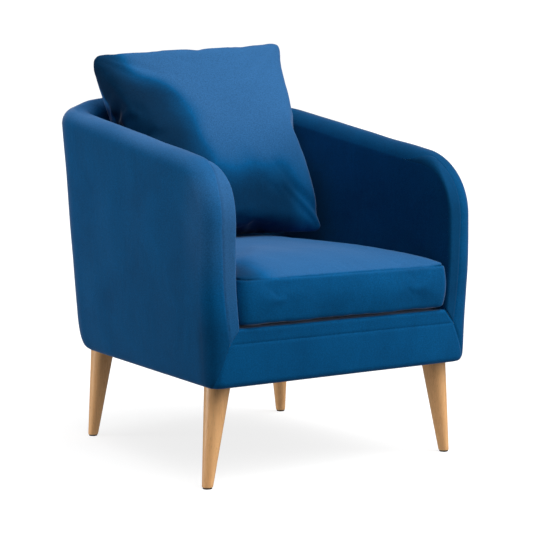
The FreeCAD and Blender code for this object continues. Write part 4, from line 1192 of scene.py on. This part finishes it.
class ARMCHAIR_OT_seat_cushion(bpy.types.Operator):
    """Loose box cushion of the seat, filled by a cloth simulation"""
    bl_idname = "armchair.seat_cushion"
    bl_label = "Seat cushion"

    def execute(self, context):
        """Rings of the plan outline, each drawn in towards the middle by its own share and
        set at its own height: bottom, bulging side, top seam, then the crown."""
        s = sizes()
        plan = rounded_plan(*CUSHION_PLAN, 260)
        middle = np.array([0.0, -0.05])
        out = np.linspace(0, 1, 26)[1:]
        side = np.linspace(0, 1, 15)
        crown = 1 - out[::-1]
        inset = np.concatenate([np.zeros(26), -0.006 * np.sin(math.pi * side[1:-1]),
                                np.zeros(26)])
        scale = np.concatenate([[0], out, np.ones(13), out[::-1], [0]])
        height = np.concatenate([
            [CUSHION_LOW.z + 0.001], CUSHION_LOW.z + 0.001 + 0.0003 * out ** 8,
            CUSHION_BOTTOM_SEAM + (CUSHION_TOP_SEAM - CUSHION_BOTTOM_SEAM) * side[1:-1],
            CUSHION_TOP_SEAM + s.crown * (1 - (1 - crown) ** 2.5),
            [CUSHION_TOP_SEAM + s.crown]])
        ray = plan - middle
        unit = ray / np.linalg.norm(ray, axis=1)[:, None]
        flat = middle + ray[None] * scale[:, None, None] - unit[None] * inset[:, None, None]
        grid = np.concatenate([flat, np.broadcast_to(height[:, None, None],
                                                     (*flat.shape[:2], 1))], axis=2)
        piece = new_piece("seat_cushion", grid,
                          grid_faces(grid.shape[0], grid.shape[1], ring=True), merge=0.0002)
        remesh(piece, 0.0050)
        wanted = points_of(piece)
        fill(piece, 4.0, 20, 0.0035, 15, 0.5)
        fit_box(piece, wanted.min(axis=0), wanted.max(axis=0))
        subdivide(piece)
        apply_modifiers(piece)
        self.sew(piece, plan)
        dress(piece, "velvet", "seat_cushion", "seat_cushion_cover", "seat_cushion_foam")
        return {"FINISHED"}

    def sew(self, piece, plan):
        """Draws the cover in along its top and bottom seams, with small even puckers, and
        keeps its underside level on the deck."""
        points, normals = points_of(piece), normals_of(piece)
        inside, place = plan_gap(points, plan)
        seam_shade = np.zeros(len(points))
        for level, pull in ((CUSHION_BOTTOM_SEAM, 0.3), (CUSHION_TOP_SEAM, 2.2)):
            gap = np.hypot(points[:, 2] - level, np.maximum(0, inside - 0.003))
            puckers = np.sin(place * (2 * math.pi / 5.25)) * np.exp(-gap / 0.010)
            points = points - normals * (groove(gap) * pull + 0.0005 * puckers)[:, None]
            # Painted shade: a dark line along each seam, where its groove is shaded.
            seam_shade = np.maximum(seam_shade, 0.8 * np.exp(-(gap / 0.0026) ** 2))
        waves = unevenness(points, 0.14, seed=21)
        points = points + normals * (0.0014 * waves)[:, None]
        low = CUSHION_LOW.z + 0.0005
        points[:, 2] = np.maximum(points[:, 2], low)
        move_points(piece, points)
        # Painted shade on the top in the corner by the left arm, and a painted highlight over the rest
        # of the top.
        top_shade_and_highlight = ease(-0.150 - points[:, 0], 0.0, 0.09) * ease(-0.16 - points[:, 1], 0.0, 0.13)
        top = ease(points[:, 2], 0.405, 0.420)
        top_shade_and_highlight = (0.70 * top_shade_and_highlight - 0.72 * (1 - top_shade_and_highlight)) * top
        # Painted shade on the left of the boxing, as across the front.
        boxing_shade = 0.8 * front_painted_shade(points) * ease(0.414 - points[:, 2], 0.0, 0.006)
        lay = top_shade_and_highlight + boxing_shade
        paint_light_and_shade(piece, lay + seam_shade * (1 - lay))


# Corners of the scatter cushion as it leans in the tub, in metres: top left, top right,
# lower right, lower left, seen from the front.
PILLOW_CORNERS = ((-0.253, 0.256, 0.853), (0.227, 0.256, 0.884), (0.219, 0.046, 0.458),
                  (-0.240, 0.050, 0.458))


def tub_depth(points):
    """Distance in from the tub's outer face of each point, and the level way inwards."""
    x, y, height = np.abs(points[:, 0]), points[:, 1], points[:, 2]
    front_half = smooth_curve(height, OUTLINE_HEIGHTS, FRONT_HALF)
    rear_half = smooth_curve(height, OUTLINE_HEIGHTS, REAR_HALF)
    back = smooth_curve(height, OUTLINE_HEIGHTS, BACK_REACH)
    taper = np.arctan((front_half - rear_half) / SIDE_RUN)
    corner_x = rear_half - CORNER_RADIUS * np.cos(taper)
    join = np.arccos(corner_x / (BOW_RADIUS - CORNER_RADIUS))
    bow_y = back - BOW_RADIUS
    corner_y = bow_y + (BOW_RADIUS - CORNER_RADIUS) * np.sin(join)
    side = (front_half - x) * np.cos(taper) - (y - FRONT) * np.sin(taper)
    to_corner = np.stack([x - corner_x, y - corner_y], axis=1)
    corner_far = np.linalg.norm(to_corner, axis=1)
    bow_far = np.hypot(x, y - bow_y)
    turn = np.arctan2(to_corner[:, 1], to_corner[:, 0])
    in_corner = (turn > taper) & (turn < join)
    on_side = ~in_corner & (side < BOW_RADIUS - bow_far)
    depth = np.select([in_corner, on_side], [CORNER_RADIUS - corner_far, side],
                      BOW_RADIUS - bow_far)
    facing = np.select([in_corner, on_side], [turn, taper], np.arctan2(y - bow_y, x))
    away = np.stack([-np.cos(facing) * np.sign(points[:, 0]), -np.sin(facing),
                     np.zeros(len(points))], axis=1)
    return depth, away


class ARMCHAIR_OT_back_pillow(bpy.types.Operator):
    """Scatter cushion that leans in the back of the tub, filled by a cloth simulation"""
    bl_idname = "armchair.back_pillow"
    bl_label = "Scatter cushion"

    def execute(self, context):
        """Two square sheets sewn edge to edge and filled like a real cover, so that the
        corners stay as ears and the edges pucker. Then the square is laid on the four
        corners, and pressed flat where it rests."""
        s = sizes()
        steps = 65
        place = np.linspace(-1, 1, steps)
        u, v = np.meshgrid(place, place)
        edge = (1 - u ** 2) * (1 - v ** 2)
        bulge = 0.012 * edge ** 0.5
        half = s.pillow_side / 2
        front = np.stack([u * half, v * half, bulge], axis=-1)
        back = front * np.array([1.0, 1.0, -1.0])
        noise = unevenness(front.reshape(-1, 3), 0.09, seed=31).reshape(u.shape)
        front[:, :, 2] += 0.0015 * noise * edge
        sheets = Sheets()
        sheets.add(front)
        sheets.add(back, flip=True)
        piece = sheets.piece("back_pillow", merge=0.0004)
        fill(piece, s.pillow_pressure, 20, 0.20, 80, 1.0)
        self.lay(piece)
        subdivide(piece)
        dress(piece, "velvet", "back_pillow", "back_pillow_cover", "back_pillow_fill")
        return {"FINISHED"}

    def zip_channel(self, points):
        """How far the back of the cover is drawn in along its zip, so that the tape lies on
        it: down to a plane just in front of the tape's own, fading out round it."""
        low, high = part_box("back_pillow_zip")
        slope = (high.y - low.y) / (high.z - low.z)
        plane = low.y + (points[:, 2] - low.z) * slope - 0.0035
        middle_x, middle_z = (low.x + high.x) / 2, (low.z + high.z) / 2
        along = ease(high.x - middle_x + 0.035 - np.abs(points[:, 0] - middle_x), 0.0, 0.030)
        across = ease(0.050 - np.abs(points[:, 2] - middle_z), 0.0, 0.034)
        return np.maximum(0, points[:, 1] - plane) * along * across

    def lay(self, piece):
        """Maps the square onto the four corners: a mean of the corners weighted by the
        place in the square, plus the thickness along the square's own facing."""
        points = points_of(piece)
        reach = np.abs(points[:, :2]).max(axis=0)
        places = points[:, :2] / reach
        edge_gap = reach[0] * (1 - np.abs(places).max(axis=1))
        places /= np.maximum(1, (np.abs(places) ** 13).sum(axis=1) ** (1 / 13))[:, None]
        places *= 1.03
        # A tight fill draws the middles of the sides in by an eighth. This gives back half.
        places = places * (1 + 0.060 * (1 - np.clip(places[:, ::-1], -1, 1) ** 2))
        # The top right ear stands out to its side and up.
        ear = np.exp(-((1 - places[:, 0]) / 0.30) ** 2 - ((1 - places[:, 1]) / 0.20) ** 2)
        places = places + ear[:, None] * np.array([0.065, 0.020])
        u, v = places.T * 0.5 + 0.5
        puckers = unevenness(places[:, ::-1] * reach * np.array([1.0, 1.0]) @ np.eye(2, 3),
                             0.024, seed=33)
        puckers *= 0.0016 * np.exp(-edge_gap / 0.030) * np.sign(points[:, 2])
        # The fold at the lower right corner, where the cushion stands on its corner.
        along_fold = (places[:, 0] - 0.70) * 0.85 + (places[:, 1] + 0.66) * -0.53
        off_fold = (places[:, 0] - 0.70) * 0.53 + (places[:, 1] + 0.66) * 0.85
        fold = np.exp(-(off_fold / 0.055) ** 2) * ease(along_fold, -0.25, 0.10)
        fold *= -0.0085 * (points[:, 2] > 0)
        top_left, top_right, low_right, low_left = (np.array(corner)
                                                    for corner in PILLOW_CORNERS)
        up = (top_left + top_right - low_left - low_right) / 2
        right = (top_right + low_right - top_left - low_left) / 2
        facing = np.cross(right, up)
        facing /= np.linalg.norm(facing)
        weights = [((1 - u) * v), (u * v), (u * (1 - v)), ((1 - u) * (1 - v))]
        laid = sum(weight[:, None] * corner for weight, corner in
                   zip(weights, (top_left, top_right, low_right, low_left)))
        full = points[:, 2] / np.abs(points[:, 2]).max()
        thickness = 0.082 * np.sign(full) * np.abs(full) ** 0.85 * (1.06 - 0.12 * v)
        thickness += puckers + fold
        laid = laid + facing * thickness[:, None]
        for _ in range(2):
            depth, away = tub_depth(laid)
            short = np.maximum(0, sizes().wall + 0.004 - depth)
            laid = laid + away * short[:, None]
        floor = CUSHION_TOP_SEAM + sizes().crown + 0.001
        low = laid[:, 2] < floor
        laid[low, 2] = floor + 0.002 * np.tanh((laid[low, 2] - floor) / 0.02)
        laid[:, 1] -= self.zip_channel(laid) * (points[:, 2] < 0)
        move_points(piece, laid)
        # Painted shade on the left quarter and near the bottom, which turn away from the light, and a
        # painted highlight on the upper part.
        u, v = places.T
        wave = 0.05 * unevenness(laid, 0.09, seed=34)
        border = smooth_curve(v, (-1.0, -0.07, 0.37, 0.68, 1.0),
                              (-0.12, -0.20, -0.30, -0.58, -0.70))
        left = 0.92 * ease(border - u + wave, -0.12, 0.42)
        bottom = 0.78 * ease(-0.34 - v + wave, -0.14, 0.40) * ease(0.86 - u, 0.0, 0.35)
        pillow_shade = np.maximum(left, bottom) * (points[:, 2] > -0.01)
        lit = ease(laid[:, 2], 0.50, 0.74) * (1 - ease(pillow_shade, 0.0, 0.5))
        paint_light_and_shade(piece, pillow_shade - 0.95 * lit)


# ------------------------------------------------------------------ frame and stage


class ARMCHAIR_OT_frame_finishes(bpy.types.Operator):
    """Real finishes for the parts that come straight from the frame"""
    bl_idname = "armchair.frame_finishes"
    bl_label = "Frame finishes"

    def execute(self, context):
        for piece in NODES.values():
            slot = piece.data.materials[0].name.split(".")[0]
            piece.data.materials.clear()
            piece.data.materials.append(finish_of(slot))
        return {"FINISHED"}


def matt_white_board():
    """Matt white painted board of the studio floor, with a faint roller texture. It glows a
    little, as a lit table does, so that shadows on it stay pale."""
    material = speckled_material("matt_white_board", "#9A9A9A", "#969696", 0.006, 1.0,
                                 relief=0.02)
    shader = material.node_tree.nodes["Principled BSDF"]
    shader.inputs["Specular IOR Level"].default_value = 0.0
    shader.inputs["Emission Color"].default_value = linear("#FFFFFF")
    shader.inputs["Emission Strength"].default_value = 0.80
    return material


class ARMCHAIR_OT_stage(bpy.types.Operator):
    """Pale floor, soft studio light and the camera"""
    bl_idname = "armchair.stage"
    bl_label = "Stage"

    def execute(self, context):
        side = 40.0
        corners = [(-side, -side, 0), (side, -side, 0), (side, side, 0), (-side, side, 0)]
        floor = new_piece("floor", corners, [(0, 1, 2, 3)], smooth=False)
        floor.data.materials.append(matt_white_board())
        floor.visible_diffuse = False
        floor.visible_glossy = False
        self.light("left_low", (-3.0, 1.6, 0.40), (0.0, 0.0, 0.40), 1.2, 56)
        self.light("front_right", (3.0, -2.6, 0.80), (0.0, -0.2, 0.40), 1.4, 31)
        self.sky()
        self.camera()
        view = bpy.context.scene.view_settings
        view.view_transform = "Standard"
        view.look = "None"
        view.exposure = 0.0
        view.gamma = 1.0
        return {"FINISHED"}

    def sky(self):
        """Light from all round: a wide soft lamp overhead, a little to the front and right,
        drawn as a power of the closeness to it, and a faint even glow of the room."""
        world = bpy.data.worlds.new("studio")
        bpy.context.scene.world = world
        world.use_nodes = True
        tree = world.node_tree
        tree.nodes.clear()
        way = add_node(tree, "ShaderNodeTexCoord").outputs["Generated"]
        facing = add_node(tree, "ShaderNodeVectorMath", {0: way, 1: (0.20, -0.40, 0.894)},
                          operation="DOT_PRODUCT")
        above = add_node(tree, "ShaderNodeMath", {0: facing.outputs["Value"], 1: 0.0},
                         operation="MAXIMUM")
        power = add_node(tree, "ShaderNodeMath", {0: above.outputs[0], 1: 6.0},
                         operation="POWER")
        below = add_node(tree, "ShaderNodeMapRange", {
            "Value": add_node(tree, "ShaderNodeSeparateXYZ", {"Vector": way}).outputs["Z"],
            "From Min": 0.0, "From Max": -1.0, "To Min": 0.05, "To Max": 0.42})
        glow = add_node(tree, "ShaderNodeMath", {
            0: power.outputs[0], 1: 5.6, 2: below.outputs[0]}, operation="MULTIPLY_ADD")
        path = add_node(tree, "ShaderNodeLightPath")
        strength = add_node(tree, "ShaderNodeMix", {
            "Factor": path.outputs["Is Camera Ray"], "A": glow.outputs[0], "B": 1.05})
        background = add_node(tree, "ShaderNodeBackground", {
            "Color": linear("#FFFFFF"), "Strength": strength.outputs[0]})
        add_node(tree, "ShaderNodeOutputWorld", {"Surface": background.outputs[0]})

    def light(self, name, place, target, size, power):
        lamp = bpy.data.lights.new(name, "AREA")
        lamp.shape = "DISK"
        lamp.size = size
        lamp.energy = power
        holder = bpy.data.objects.new(name, lamp)
        holder.location = place
        way = Vector(target) - Vector(place)
        holder.rotation_euler = way.to_track_quat("-Z", "Y").to_euler()
        bpy.context.scene.collection.objects.link(holder)

    def camera(self):
        lens = bpy.data.cameras.new("view")
        lens.sensor_width = 36.0
        lens.lens = 106.30
        holder = bpy.data.objects.new("view", lens)
        holder.location = (-1.8835, -2.8837, 0.7568)
        holder.rotation_euler = (math.radians(90 - 6.01), 0, -math.radians(33.71))
        bpy.context.scene.collection.objects.link(holder)
        bpy.context.scene.camera = holder


STEPS = (ARMCHAIR_OT_stage, ARMCHAIR_OT_frame_finishes, ARMCHAIR_OT_padding,
         ARMCHAIR_OT_outside_cover,
         ARMCHAIR_OT_inside_cover, ARMCHAIR_OT_facing_bands, ARMCHAIR_OT_front_border,
         ARMCHAIR_OT_base_cloths, ARMCHAIR_OT_legs, ARMCHAIR_OT_seat_cushion,
         ARMCHAIR_OT_back_pillow)


class ARMCHAIR_PT_panel(bpy.types.Panel):
    """Lists the armchair's pieces, sizes and colours"""
    bl_label = "Armchair"
    bl_space_type = "VIEW_3D"
    bl_region_type = "UI"
    bl_category = "Armchair"

    def draw(self, context):
        for group in (sizes(), colours()):
            box = self.layout.box()
            for name in group.__annotations__:
                box.prop(group, name)
        for step in STEPS:
            self.layout.operator(step.bl_idname)


CLASSES = (ArmchairSizes, ArmchairColours, *STEPS, ARMCHAIR_PT_panel)


def register():
    for each in CLASSES:
        bpy.utils.register_class(each)
    bpy.types.Scene.armchair_sizes = bpy.props.PointerProperty(type=ArmchairSizes)
    bpy.types.Scene.armchair_colours = bpy.props.PointerProperty(type=ArmchairColours)


def unregister():
    del bpy.types.Scene.armchair_colours
    del bpy.types.Scene.armchair_sizes
    for each in reversed(CLASSES):
        bpy.utils.unregister_class(each)


def main():
    register()
    for step in STEPS:
        group, name = step.bl_idname.split(".")
        getattr(getattr(bpy.ops, group), name)()


if __name__ == "__main__":
    main()
